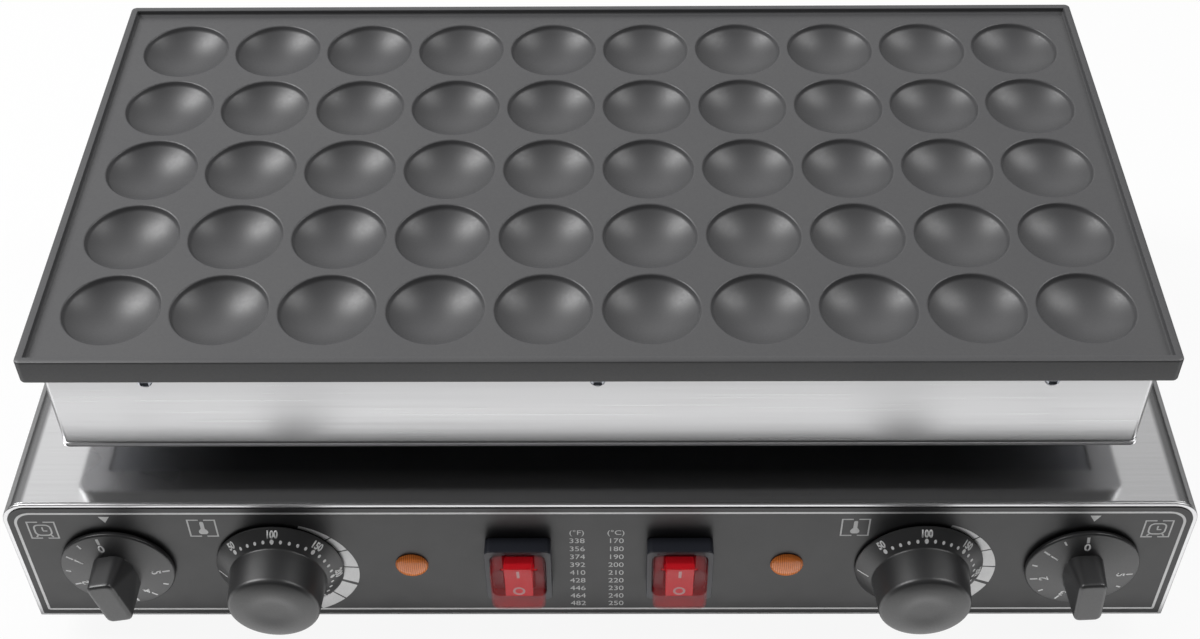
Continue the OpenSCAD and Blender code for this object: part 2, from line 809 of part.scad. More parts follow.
module thermostat_shaft(side) {
  control_shaft(side * temperature_x, temperature_bore_z);
}

// Low dial with a bar grip that swells at its foot; the hollow under it clears the bushing nut
module timer_knob(side) {
  dial_r = timer_dial_d / 2;
  edge = 0.7;
  hollow_r = bushing_nut_r + 4;
  bar_base_w = timer_bar_w + 3;
  bar_base_l = timer_bar_l - 1.5;
  bar_belly_d = timer_bar_w + 6.5;
  round_r = 3.5;
  slice = 0.2;
  rest = side == left ? timer_rest_left : timer_rest_right;
  color("dimgray") on_panel(side * timer_x, control_h) rotate([0, 0, rest]) difference() {
    union() {
      rotate_extrude() polygon([
        [0, hub_z], [hollow_r, hub_z], [hollow_r, knob_gap], [dial_r - edge, knob_gap],
        [dial_r, knob_gap + edge], [dial_r, timer_dial_h - 1.9], [dial_r - edge, timer_dial_h - 1.2],
        [hollow_r + 1, timer_dial_h], [0, timer_dial_h]
      ]);
      hull($fn = 32) {
        translate([0, 0, timer_dial_h - edge]) linear_extrude(slice) {
          rounded_rect(bar_base_w, bar_base_l, round_r);
          circle(d = bar_belly_d);
        }
        translate([0, 0, timer_knob_h - edge - slice]) linear_extrude(slice)
          rounded_rect(timer_bar_w, timer_bar_l, round_r);
        translate([0, 0, timer_knob_h - slice]) linear_extrude(slice)
          rounded_rect(timer_bar_w - edge, timer_bar_l - edge, round_r - edge / 2);
      }
    }
    translate([0, 0, hub_z - cut]) cylinder(r = shaft_r + run_gap, h = timer_bore_z - hub_z + cut);
  }
}

// Flared skirt, slightly tapered grip and dished cap; hollow, with a hub on the shaft
module temperature_knob(side) {
  skirt_r = temperature_skirt_d / 2;
  grip_r = temperature_grip_d / 2;
  cap_r = temperature_cap_d / 2;
  cap_z = temperature_knob_h - 4;
  dish_z = temperature_knob_h - 1;
  wall = 2;
  rim_t = 1.2;
  hub_r = shaft_r + 4;
  color("dimgray") on_panel(side * temperature_x, control_h) rotate_extrude() polygon([
    [shaft_r + run_gap, hub_z], [hub_r, hub_z], [hub_r, cap_z - wall], [cap_r - wall, cap_z - wall],
    [grip_r - wall, temperature_skirt_h - wall], [skirt_r - wall, knob_gap], [skirt_r, knob_gap],
    [skirt_r, knob_gap + rim_t], [grip_r + 0.6, temperature_skirt_h - 0.2],
    [grip_r, temperature_skirt_h + 0.8],
    [cap_r, cap_z], [cap_r - 0.3, cap_z + 1.2], [cap_r - 1, cap_z + 2.2], [cap_r - 2.1, cap_z + 2.9],
    [cap_r * 0.62, temperature_knob_h], [cap_r * 0.5, temperature_knob_h], [cap_r * 0.2, dish_z],
    [0, dish_z], [0, temperature_bore_z], [shaft_r + run_gap, temperature_bore_z]
  ]);
}

// Bezel on the panel and body behind it, with the seat of the boot and the rocker's pocket
module switch_frame(side) {
  pocket_w = rocker_w + 2 * rocker_gap;
  pocket_h = rocker_l + 2;
  pocket_z = -6;
  color("black") on_panel(side * switch_x, switch_h) difference() {
    union() {
      linear_extrude(frame_proud) rounded_rect(frame_w, frame_h, frame_r);
      translate([-boot_w / 2, -boot_h / 2, -switch_body_l]) cube([boot_w, boot_h, switch_body_l + cut]);
    }
    translate([0, 0, boot_seat]) linear_extrude(frame_proud)
      rounded_rect(boot_w + 2 * slip_gap, boot_h + 2 * slip_gap, boot_r + slip_gap);
    translate([-pocket_w / 2, -pocket_h / 2, pocket_z]) cube([pocket_w, pocket_h, frame_proud - pocket_z]);
    translate([-pocket_w / 2 - pivot_in - slip_gap, 0, pivot_z]) rotate([0, 90, 0])
      cylinder(r = pivot_r + run_gap, h = pocket_w + 2 * (pivot_in + slip_gap));
  }
}

// Rocker with its pivot pins, tipped to the side that is pressed at rest
module switch_rocker(side) {
  half = rocker_l / 2;
  pin_half = rocker_w / 2 + rocker_gap + pivot_in;
  face = rocker_face - pivot_z;
  foot = half * 0.4;
  color("crimson") on_panel(side * switch_x, switch_h) translate([0, 0, pivot_z])
    rotate([rocker_swing / 2, 0, 0]) {
      rotate([90, 0, 90]) translate([0, 0, -rocker_w / 2]) linear_extrude(rocker_w) polygon([
        [half, face], [0, face - rocker_dip], [-half, face], [-half, face - rocker_end_t],
        [-foot, -rocker_end_t], [foot, -rocker_end_t], [half, face - rocker_end_t]
      ]);
      translate([-pin_half, 0, 0]) rotate([0, 90, 0]) cylinder(r = pivot_r, h = 2 * pin_half);
    }
}

// Clear cover over the rocker, seated in the frame
module switch_boot(side) {
  color("red", 0.5) on_panel(side * switch_x, switch_h) difference() {
    translate([0, 0, boot_seat]) linear_extrude(boot_proud - boot_seat) rounded_rect(boot_w, boot_h, boot_r);
    translate([0, 0, boot_seat - cut]) linear_extrude(boot_proud - boot_seat - boot_t + cut)
      rounded_rect(boot_w - 2 * boot_t, boot_h - 2 * boot_t, boot_r - boot_t);
  }
}

module lamp_lens(side) {
  r = lamp_d / 2;
  color("orange") on_panel(side * lamp_x, control_h) rotate_extrude() polygon([
    [0, lamp_proud - lamp_wall - 0.6], [lamp_stem_r - lamp_wall, lamp_proud * 0.3],
    [lamp_stem_r - lamp_wall, -lamp_stem_l], [lamp_stem_r, -lamp_stem_l], [lamp_stem_r, 0], [r, 0],
    [r, lamp_proud * 0.25], [r * 0.95, lamp_proud * 0.45], [r * 0.8, lamp_proud * 0.74],
    [r * 0.5, lamp_proud * 0.94], [0, lamp_proud]
  ]);
}

module lamp_holder(side) {
  body_l = 24;
  nut_l = lamp_stem_l - stack_t + lamp_wall;
  color("white") on_panel(side * lamp_x, control_h) difference() {
    union() {
      translate([0, 0, -stack_t - nut_l]) cylinder(r = lamp_stem_r + 2.6, h = nut_l);
      translate([0, 0, -stack_t - body_l]) cylinder(r = lamp_stem_r, h = body_l - nut_l + cut);
    }
    translate([0, 0, -lamp_stem_l - slip_gap]) cylinder(r = lamp_stem_r + slip_gap, h = lamp_stem_l);
  }
}

module terminal_block() {
  poles = 6;
  pole_pitch = terminal_w / poles;
  color("ivory") difference() {
    translate([-terminal_w / 2, terminal_y0, cover_z1])
      cube([terminal_w, terminal_d, terminal_h]);
    for (k = [0 : poles - 1], y = [0.28, 0.72])
      translate([(k + 0.5 - poles / 2) * pole_pitch, terminal_y0 + y * terminal_d, cover_z1])
        drill(terminal_hole_r, terminal_h / 2, terminal_h);
  }
}

// Wires bundled from the terminal block to the back of each switch
module wire_looms() {
  low_z = cover_z1 + terminal_h / 2;
  high_z = base_z0 + switch_h;
  turn_y = front_y + switch_body_l + loom_run;
  color("saddlebrown") for (x = sides) pipe_run([
    [x * switch_x, terminal_y0, low_z],
    [x * switch_x, turn_y, low_z],
    [x * switch_x, turn_y, high_z],
    [x * switch_x, front_y + switch_body_l, high_z]
  ], loom_r, loom_bend);
}

module cable_gland() {
  color("dimgray") translate([gland_x, back_y, base_z0 + gland_h]) rotate([-90, 0, 0]) difference() {
    union() {
      cylinder(r = gland_flange_r, h = gland_flange_h, $fn = hex_sides);
      rotate_extrude() polygon([
        [0, -gland_in - panel_t], [gland_thread_r, -gland_in - panel_t], [gland_thread_r, gland_flange_h],
        [gland_thread_r + 2, gland_flange_h], [gland_thread_r + 2, gland_out * 0.7],
        [gland_thread_r - 1.5, gland_out], [0, gland_out]
      ]);
    }
    drill(gland_bore_d / 2, -gland_in - panel_t, gland_out);
  }
}

module gland_nut() {
  height = 5;
  color("dimgray") translate([gland_x, back_y - panel_t, base_z0 + gland_h]) rotate([90, 0, 0])
    hex_nut(gland_flange_r, gland_thread_r + run_gap, height);
}

baking_plate();
upper_housing();
housing_screws();
housing_pan();
pan_screws();
insulation_board();
heating_element(left);  // heating_element_left
heating_element(right);  // heating_element_right
clamp_bars();
clamp_studs();
clamp_nuts();
sensor(left);  // sensor_left
sensor(right);  // sensor_right
support_posts();
post_bolts();
post_nuts();
wire_conduits();
base_shell();
bottom_cover();
cover_screws();
rear_panel();
rear_screws();
feet();
foot_screws();
foot_nuts();
control_panel();
panel_overlay();
bushing_nuts();
timer(left);  // timer_left
timer(right);  // timer_right
timer_shaft(left);  // timer_shaft_left
timer_shaft(right);  // timer_shaft_right
timer_knob(left);  // timer_knob_left
timer_knob(right);  // timer_knob_right
thermostat(left);  // thermostat_left
thermostat(right);  // thermostat_right
thermostat_shaft(left);  // thermostat_shaft_left
thermostat_shaft(right);  // thermostat_shaft_right
temperature_knob(left);  // temperature_knob_left
temperature_knob(right);  // temperature_knob_right
switch_frame(left);  // switch_frame_left
switch_frame(right);  // switch_frame_right
switch_rocker(left);  // switch_rocker_left
switch_rocker(right);  // switch_rocker_right
switch_boot(left);  // switch_boot_left
switch_boot(right);  // switch_boot_right
lamp_lens(left);  // lamp_lens_left
lamp_lens(right);  // lamp_lens_right
lamp_holder(left);  // lamp_holder_left
lamp_holder(right);  // lamp_holder_right
terminal_block();
wire_looms();
cable_gland();
gland_nut();
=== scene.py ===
"""Looks of a countertop mini pancake grill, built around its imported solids.

Sizes in the classes are millimetres in the part's own frame: +X right, +Y back, +Z up.
"""

import json
import logging
import math
from collections.abc import Callable, Iterable, Sequence
from dataclasses import dataclass, field, replace
from enum import Enum

import bmesh
import bpy
from mathutils import Matrix, Vector

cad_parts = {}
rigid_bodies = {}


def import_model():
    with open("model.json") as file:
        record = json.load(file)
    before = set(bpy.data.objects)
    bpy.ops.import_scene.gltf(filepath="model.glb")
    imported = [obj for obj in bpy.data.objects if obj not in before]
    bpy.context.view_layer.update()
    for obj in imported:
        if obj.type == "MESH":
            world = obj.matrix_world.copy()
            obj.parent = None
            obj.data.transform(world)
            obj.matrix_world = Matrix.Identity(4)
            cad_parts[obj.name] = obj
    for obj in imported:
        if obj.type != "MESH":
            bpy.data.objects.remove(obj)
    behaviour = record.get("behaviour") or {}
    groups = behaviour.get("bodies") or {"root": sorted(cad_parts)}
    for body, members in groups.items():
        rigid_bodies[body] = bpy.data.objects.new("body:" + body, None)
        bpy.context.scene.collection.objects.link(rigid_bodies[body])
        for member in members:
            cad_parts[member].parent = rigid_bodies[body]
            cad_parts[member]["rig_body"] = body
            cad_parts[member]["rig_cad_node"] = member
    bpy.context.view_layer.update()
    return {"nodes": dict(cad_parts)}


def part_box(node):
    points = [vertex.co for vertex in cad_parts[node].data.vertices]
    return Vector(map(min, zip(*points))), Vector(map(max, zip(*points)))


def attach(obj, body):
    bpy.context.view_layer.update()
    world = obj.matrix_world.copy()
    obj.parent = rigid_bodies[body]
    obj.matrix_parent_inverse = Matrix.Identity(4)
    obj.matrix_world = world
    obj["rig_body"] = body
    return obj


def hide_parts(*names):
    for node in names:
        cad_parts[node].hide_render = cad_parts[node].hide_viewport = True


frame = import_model()
LOG = logging.getLogger("grill")
MM = 0.001
BODY = "grill_body"
SIDES = ("left", "right")
BOTH = (-1, 1)
PANEL_Y = -151.3
# Places closer than this are the same, and corners closer than the second are merged.
CLOSE = 0.01
MERGE = 0.002
# Faces that lean less than this are one flat face.
FLAT = math.radians(0.5)
# How far out a mark waits before it is laid on.
AFAR = 40.0
# Ranges of noise that take a material from one tone, or one gloss, to the other.
CLOUD_RANGE = (0.65, 1.35)
GRAIN_RANGE = (0.3, 0.7)

Piece = bpy.types.Object
Tree = bpy.types.NodeTree
Socket = bpy.types.NodeSocket
Pair = tuple[float, float]
Triple = tuple[float, float, float]
Pairs = tuple[Pair, ...]


class Pick(Enum):
    """What an edit mode selection holds."""

    VERT = "VERT"
    EDGE = "EDGE"
    FACE = "FACE"


class Pattern(Enum):
    """How the fine detail of a surface runs: a texture node, its settings and its output."""

    GRAIN = ("ShaderNodeTexNoise", {"Scale": 1.0, "Detail": 3.0, "Roughness": 0.6}, "Fac")
    SPANGLE = ("ShaderNodeTexVoronoi", {"Scale": 1.0}, "Color")
    RIBS = ("ShaderNodeTexWave", {"Scale": 1.0, "Distortion": 0.4, "Detail": 1.0}, "Fac")


def linear(code: str) -> tuple[float, float, float, float]:
    """Turns an sRGB hex colour to linear.

    Args:
        code: Colour such as "#808080".

    Returns:
        Linear red, green, blue and an alpha of 1.
    """
    parts = [int(code[i : i + 2], 16) / 255 for i in (1, 3, 5)]
    red, green, blue = (
        p / 12.92 if p <= 0.04045 else ((p + 0.055) / 1.055) ** 2.4 for p in parts
    )
    return red, green, blue, 1.0


def add_node(
    tree: Tree, kind: str, settings: dict | None = None, links: dict | None = None
) -> bpy.types.Node:
    """Adds a node to a tree.

    Args:
        tree: Node tree of a material or world.
        kind: Node type.
        settings: Values; a lower case name is a property, anything else an input socket.
        links: Output sockets, by the input that each feeds.

    Returns:
        The new node.
    """
    node = tree.nodes.new(kind)
    for key, value in (settings or {}).items():
        if isinstance(key, str) and key.islower():
            setattr(node, key, value)
        else:
            node.inputs[key].default_value = value
    for key, source in (links or {}).items():
        tree.links.new(source, node.inputs[key])
    return node


def work_out(tree: Tree, operation: str, *values: Socket) -> Socket:
    """Adds a node that works a value out of others, and gives its output."""
    links = dict(enumerate(values))
    return add_node(tree, "ShaderNodeMath", {"operation": operation}, links).outputs[0]


def remap(tree: Tree, value: Socket, before: Pair, after: Pair) -> Socket:
    """Adds a node that takes a value from one range to another, and gives its output."""
    ends = dict(zip(("From Min", "From Max", "To Min", "To Max"), (*before, *after)))
    return add_node(tree, "ShaderNodeMapRange", ends, {"Value": value}).outputs[0]


def blend(tree: Tree, share: Socket, first: Sequence[float], second: Sequence[float]) -> Socket:
    """Adds a node that goes from one colour to another, and gives its output."""
    colours = {"data_type": "RGBA", 6: first, 7: second}
    return add_node(tree, "ShaderNodeMix", colours, {0: share}).outputs[2]


@dataclass(frozen=True)
class Finish:
    """A real material: two tones that cloud together, and a fine grain for gloss and relief."""

    name: str
    colour: str
    shade: str
    roughness: Pair
    grain_mm: Triple
    slot: str | None = None
    cloud_mm: float = 60.0
    relief_mm: float = 0.0
    metallic: float = 0.0
    ior: float = 1.5
    alpha: float = 1.0
    glow: float = 0.0
    pattern: Pattern = Pattern.GRAIN

    def make(self) -> bpy.types.Material:
        """Builds the node material, once for each name.

        Returns:
            The material.
        """
        known = bpy.data.materials.get(self.name)
        if known:
            return known
        material = bpy.data.materials.new(self.name)
        material.use_nodes = True
        tree = material.node_tree
        place = add_node(tree, "ShaderNodeTexCoord").outputs["Object"]
        scale = {"Scale": [1 / (size * MM) for size in self.grain_mm]}
        spot = add_node(tree, "ShaderNodeMapping", scale, {"Vector": place}).outputs["Vector"]
        kind, detail, output = self.pattern.value
        grain = add_node(tree, kind, detail, {"Vector": spot}).outputs[output]
        cloud = {"Scale": 1 / (self.cloud_mm * MM), "Detail": 4.0}
        mist = add_node(tree, "ShaderNodeTexNoise", cloud, {"Vector": place}).outputs["Fac"]
        share = remap(tree, work_out(tree, "ADD", mist, grain), CLOUD_RANGE, (0.0, 1.0))
        tone = blend(tree, share, linear(self.colour), linear(self.shade))
        matt = remap(tree, grain, GRAIN_RANGE, self.roughness)
        feeds = {"Base Color": tone, "Roughness": matt}
        values = {"Metallic": self.metallic, "Alpha": self.alpha}
        if not self.metallic:
            values["IOR"] = self.ior
        if self.relief_mm:
            bump = {"Strength": 1.0, "Distance": self.relief_mm * MM}
            feeds["Normal"] = add_node(tree, "ShaderNodeBump", bump, {"Height": grain}).outputs[0]
        # A glow is painted light: the tone is emitted, so that a part that is no lamp shows
        # brighter.
        if self.glow:
            feeds["Emission Color"] = tone
            values["Emission Strength"] = self.glow
        shader = tree.nodes["Principled BSDF"]
        for key, value in values.items():
            shader.inputs[key].default_value = value
        for key, source in feeds.items():
            tree.links.new(source, shader.inputs[key])
        return material

    def dress(self, obj: Piece) -> None:
        """Gives a piece or a solid this finish.

        Args:
            obj: The piece or solid.
        """
        obj.data.materials.clear()
        obj.data.materials.append(self.make())


# Sprayed non-stick coat on cast aluminium: dark satin grey, with a fine orange peel.
COAT = Finish(
    "non_stick_coat_on_cast_aluminium", "#525253", "#4c4c4e", (0.38, 0.48), (1.1, 1.1, 1.1),
    slot="coated_cast_aluminium", relief_mm=0.012, ior=1.65,
)
# Stainless sheet, fine brushed and then polished. The lines that are left are about 0.1 mm apart
# and are drawn 1 mm apart, so that they show. A bent sheet's lines run on over its bends.
STAINLESS = Finish(
    "stainless_sheet_polished_top", "#d4d4d5", "#d0d0d1", (0.13, 0.18), (160.0, 1.0, 160.0),
    slot="stainless_sheet", metallic=0.96, relief_mm=0.0002, cloud_mm=120.0,
)
# The same sheet where it stands upright: duller, with level lines.
STAINLESS_UPRIGHT = replace(
    STAINLESS, name="stainless_sheet_upright", grain_mm=(160.0, 160.0, 1.0), roughness=(0.27, 0.32)
)
# Bright zinc on steel: bluish silver, a little cloudy.
ZINC = Finish(
    "zinc_plated_steel", "#b9bcc2", "#9fa3aa", (0.25, 0.4), (2.0, 2.0, 2.0),
    slot="zinc_steel", metallic=1.0, cloud_mm=6.0,
)
# Hot-dip galvanised sheet: frost-like spangle of grey facets.
GALVANISED = Finish(
    "galvanised_sheet", "#aeb2b5", "#8f9498", (0.3, 0.55), (9.0, 9.0, 9.0),
    slot="galvanised_sheet", metallic=1.0, pattern=Pattern.SPANGLE,
)
# Pressed mineral fibre board: off-white, matt and fibrous.
MINERAL = Finish(
    "mineral_fibre_board", "#d8d2c2", "#bdb5a2", (0.85, 0.95), (8.0, 1.2, 1.2),
    slot="mineral_board", relief_mm=0.2, cloud_mm=15.0,
)
# Oxidised steel sheath of a tubular element: dark, with a brownish heat tint.
SHEATH = Finish(
    "oxidised_element_sheath", "#5d5a58", "#4a403a", (0.45, 0.6), (3.0, 3.0, 3.0),
    slot="element_sheath", metallic=0.8, relief_mm=0.01, cloud_mm=30.0,
)
# Drawn copper capillary: warm, with darker tarnish in patches.
COPPER = Finish(
    "drawn_copper", "#b87352", "#8f563c", (0.25, 0.4), (4.0, 4.0, 4.0),
    slot="copper_tube", metallic=1.0, cloud_mm=20.0,
)
# Moulded rubber: near black, matt, a fine pitted skin.
RUBBER = Finish(
    "moulded_rubber", "#262626", "#1d1d1d", (0.7, 0.85), (0.8, 0.8, 0.8),
    slot="foot_rubber", relief_mm=0.03, cloud_mm=10.0,
)
# Moulded phenolic: black with a soft gloss, the skin of a spark-eroded mould.
PHENOLIC = Finish(
    "moulded_black_phenolic", "#343435", "#2e2e2f", (0.34, 0.44), (0.7, 0.7, 0.7),
    slot="black_plastic", relief_mm=0.006, cloud_mm=25.0, ior=1.7,
)
# Moulded nylon of a switch frame: blue-black, glossier than the knobs.
NYLON = Finish(
    "moulded_blue_black_nylon", "#30323a", "#292b32", (0.3, 0.38), (0.8, 0.8, 0.8),
    slot="black_plastic", relief_mm=0.004, cloud_mm=25.0,
)
# Reverse printed polyester film: smoke grey under a satin face, a little uneven from its glue.
FILM = Finish(
    "polyester_panel_film", "#29292a", "#242425", (0.3, 0.36), (14.0, 14.0, 14.0),
    slot="panel_film", relief_mm=0.004, cloud_mm=90.0,
)
# Screen ink with aluminium flake: silver, a little grainy.
SILVER_INK = Finish(
    "silver_screen_ink", "#cbcbcb", "#bebebe", (0.4, 0.5), (0.5, 0.5, 0.5),
    cloud_mm=5.0, metallic=0.6,
)
# A greyer mix of the same ink, and white foil that is stamped on with heat.
DIM_INK = replace(SILVER_INK, name="dull_grey_screen_ink", colour="#b8b8b8", shade="#a6a6a6")
WHITE_INK = replace(
    SILVER_INK, name="white_stamping_foil", colour="#f2f2f2", shade="#e6e6e6", metallic=0.0
)
# Moulded polycarbonate rocker: clean glossy red, with a painted glow: its own tone is emitted so
# that it shows bright against the shade of the boot over it.
RED_PAINTED_GLOW = Finish(
    "moulded_red_polycarbonate_painted_glow", "#e32531", "#d31f2b", (0.2, 0.28), (1.0, 1.0, 1.0),
    slot="red_plastic", cloud_mm=12.0, ior=1.42, glow=0.16,
)
# Clear soft vinyl boot, tinted red; it lets most of the light through.
BOOT = Finish(
    "clear_red_vinyl", "#d81a26", "#c8141f", (0.1, 0.16), (6.0, 6.0, 6.0),
    slot="red_boot", alpha=0.2, cloud_mm=12.0, ior=1.4,
)
# Moulded amber acrylic lens: prisms inside show as fine ribs.
AMBER = Finish(
    "moulded_amber_acrylic", "#fd9344", "#dc7530", (0.15, 0.25), (3.2, 3.2, 3.2),
    slot="amber_lens", pattern=Pattern.RIBS, relief_mm=0.06, cloud_mm=6.0, ior=1.49,
)
# Moulded white nylon: warm white, soft gloss.
WHITE = Finish(
    "moulded_white_nylon", "#dcdad3", "#cfccc3", (0.4, 0.5), (1.0, 1.0, 1.0),
    slot="white_plastic", relief_mm=0.005, cloud_mm=20.0,
)
# Woven glass sleeve over wires: rust brown, a coarse thread.
SLEEVE = Finish(
    "woven_glass_sleeve", "#8a5a3a", "#6e452b", (0.75, 0.9), (1.4, 1.4, 1.4),
    slot="wire_sleeve", relief_mm=0.15, cloud_mm=12.0,
)


def clear_selection() -> None:
    """Deselects every object."""
    bpy.ops.object.select_all(action="DESELECT")


def activate(obj: Piece) -> None:
    """Selects one object alone and makes it active.

    Args:
        obj: The object.
    """
    clear_selection()
    obj.select_set(True)
    bpy.context.view_layer.objects.active = obj


def enter(mode: str) -> None:
    """Goes to edit or object mode."""
    bpy.ops.object.mode_set(mode=mode)


def select_all(kind: Pick | None = None) -> None:
    """Selects everything in edit mode, as elements of a kind if one is given.

    Args:
        kind: Vertices, edges or faces.
    """
    if kind:
        bpy.ops.mesh.select_mode(type=kind.value)
    bpy.ops.mesh.select_all(action="SELECT")


def apply_modifier(obj: Piece, kind: str, **settings: object) -> None:
    """Adds a modifier with its settings and applies it.

    Args:
        obj: The piece.
        kind: Modifier type.
        **settings: Its properties.
    """
    activate(obj)
    modifier = obj.modifiers.new(kind.lower(), kind)
    for key, value in settings.items():
        setattr(modifier, key, value)
    bpy.ops.object.modifier_apply(modifier=modifier.name)


def carve(obj: Piece, tool: Piece, operation: str = "DIFFERENCE") -> None:
    """Takes a tool away from a piece, or adds it; the tool is removed."""
    apply_modifier(obj, "BOOLEAN", object=tool, operation=operation, solver="EXACT")
    bpy.data.objects.remove(tool)


def smooth(obj: Piece, angle: float, weighted: bool = True) -> None:
    """Smooths a piece but for its sharp edges.

    Args:
        obj: The piece.
        angle: Edges sharper than this stay sharp, in degrees.
        weighted: Large flat faces keep their own normals.
    """
    activate(obj)
    bpy.ops.object.shade_smooth_by_angle(angle=math.radians(angle))
    if weighted:
        apply_modifier(obj, "WEIGHTED_NORMAL", keep_sharp=True)


def settle(obj: Piece, matrix: Matrix) -> Piece:
    """Moves a piece by a matrix and applies it, so that its place is in its mesh.

    Args:
        obj: The piece.
        matrix: Placing, in metres.

    Returns:
        The piece.
    """
    activate(obj)
    obj.matrix_world = matrix
    bpy.ops.object.transform_apply(location=True, rotation=True, scale=True)
    return obj


def twin(obj: Piece, name: str) -> Piece:
    """Copies a piece with its own mesh.

    Args:
        obj: The piece.
        name: The copy's name.

    Returns:
        The copy.
    """
    copy = obj.copy()
    copy.data = obj.data.copy()
    copy.name = copy.data.name = name
    for key in [k for k in copy.keys() if k.startswith("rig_")]:
        del copy[key]
    bpy.context.scene.collection.objects.link(copy)
    return copy


def join(parts: Sequence[Piece], name: str) -> Piece:
    """Joins pieces into one.

    Args:
        parts: The pieces.
        name: The result's name.

    Returns:
        The joined piece.
    """
    activate(parts[0])
    for part in parts:
        part.select_set(True)
    if len(parts) > 1:
        bpy.ops.object.join()
    parts[0].name = parts[0].data.name = name
    return parts[0]


def repeat(obj: Piece, places: Iterable[Matrix], name: str) -> Piece:
    """Sets copies of a piece at several places and joins them; the pattern itself is removed.

    Args:
        obj: The pattern, about the origin.
        places: Where each copy goes.
        name: The result's name.

    Returns:
        The joined copies.
    """
    copies = [settle(twin(obj, f"{name}_copy"), place) for place in places]
    bpy.data.objects.remove(obj)
    return join(copies, name)


def stand_in(piece: Piece, finish: Finish, node: str, body: str = BODY) -> None:
    """Dresses a modelled piece that is shown instead of a solid.

    Args:
        piece: The piece.
        finish: Its finish.
        node: The solid's name.
        body: The body that the piece rides with.
    """
    finish.dress(piece)
    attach(piece, body)
    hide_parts(node)


def middle(node: str) -> Vector:
    """Middle of a solid's box, in millimetres."""
    low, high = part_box(node)
    return (low + high) / 2 / MM


def shift(x: float = 0.0, y: float = 0.0, z: float = 0.0) -> Matrix:
    """A move in millimetres as a matrix."""
    return Matrix.Translation(Vector((x, y, z)) * MM)


def turn(degrees: float, axis: str = "Z") -> Matrix:
    """A turn about an axis through the origin as a matrix."""
    return Matrix.Rotation(math.radians(degrees), 4, axis)


def on_panel(x: float = 0.0, z: float = 0.0) -> Matrix:
    """Takes coordinates across, up and out from a point of the panel to the part's frame."""
    return shift(x, PANEL_Y, z) @ turn(90, "X")


def in_front(node: str) -> Matrix:
    """Takes panel coordinates about the middle of a solid to the part's frame."""
    at = middle(node)
    return on_panel(at.x, at.z)


def arc(x: float, z: float, r: float, start: float, end: float, steps: int) -> list[Pair]:
    """Points along an arc of a turned profile.

    Args:
        x: Centre's distance from the axis.
        z: Centre's height.
        r: Radius.
        start: First angle in degrees, from +X towards +Z.
        end: Last angle.
        steps: Number of segments.

    Returns:
        Pairs of radius and height.
    """
    angles = [math.radians(start + (end - start) * k / steps) for k in range(steps + 1)]
    return [(x + r * math.cos(a), z + r * math.sin(a)) for a in angles]


def dome(r: float, low: float, high: float, step: int, count: int) -> list[Pair]:
    """Points up a dome of a turned profile, to its top.

    Args:
        r: Radius at its foot.
        low: Height of its foot.
        high: Height of its top.
        step: Angle between points in degrees.
        count: Number of points below the top.

    Returns:
        Pairs of radius and height.
    """
    angles = [math.radians(step * k) for k in range(count)]
    points = [(r * math.cos(a), low + (high - low) * math.sin(a)) for a in angles]
    return [*points, (0.0, high)]


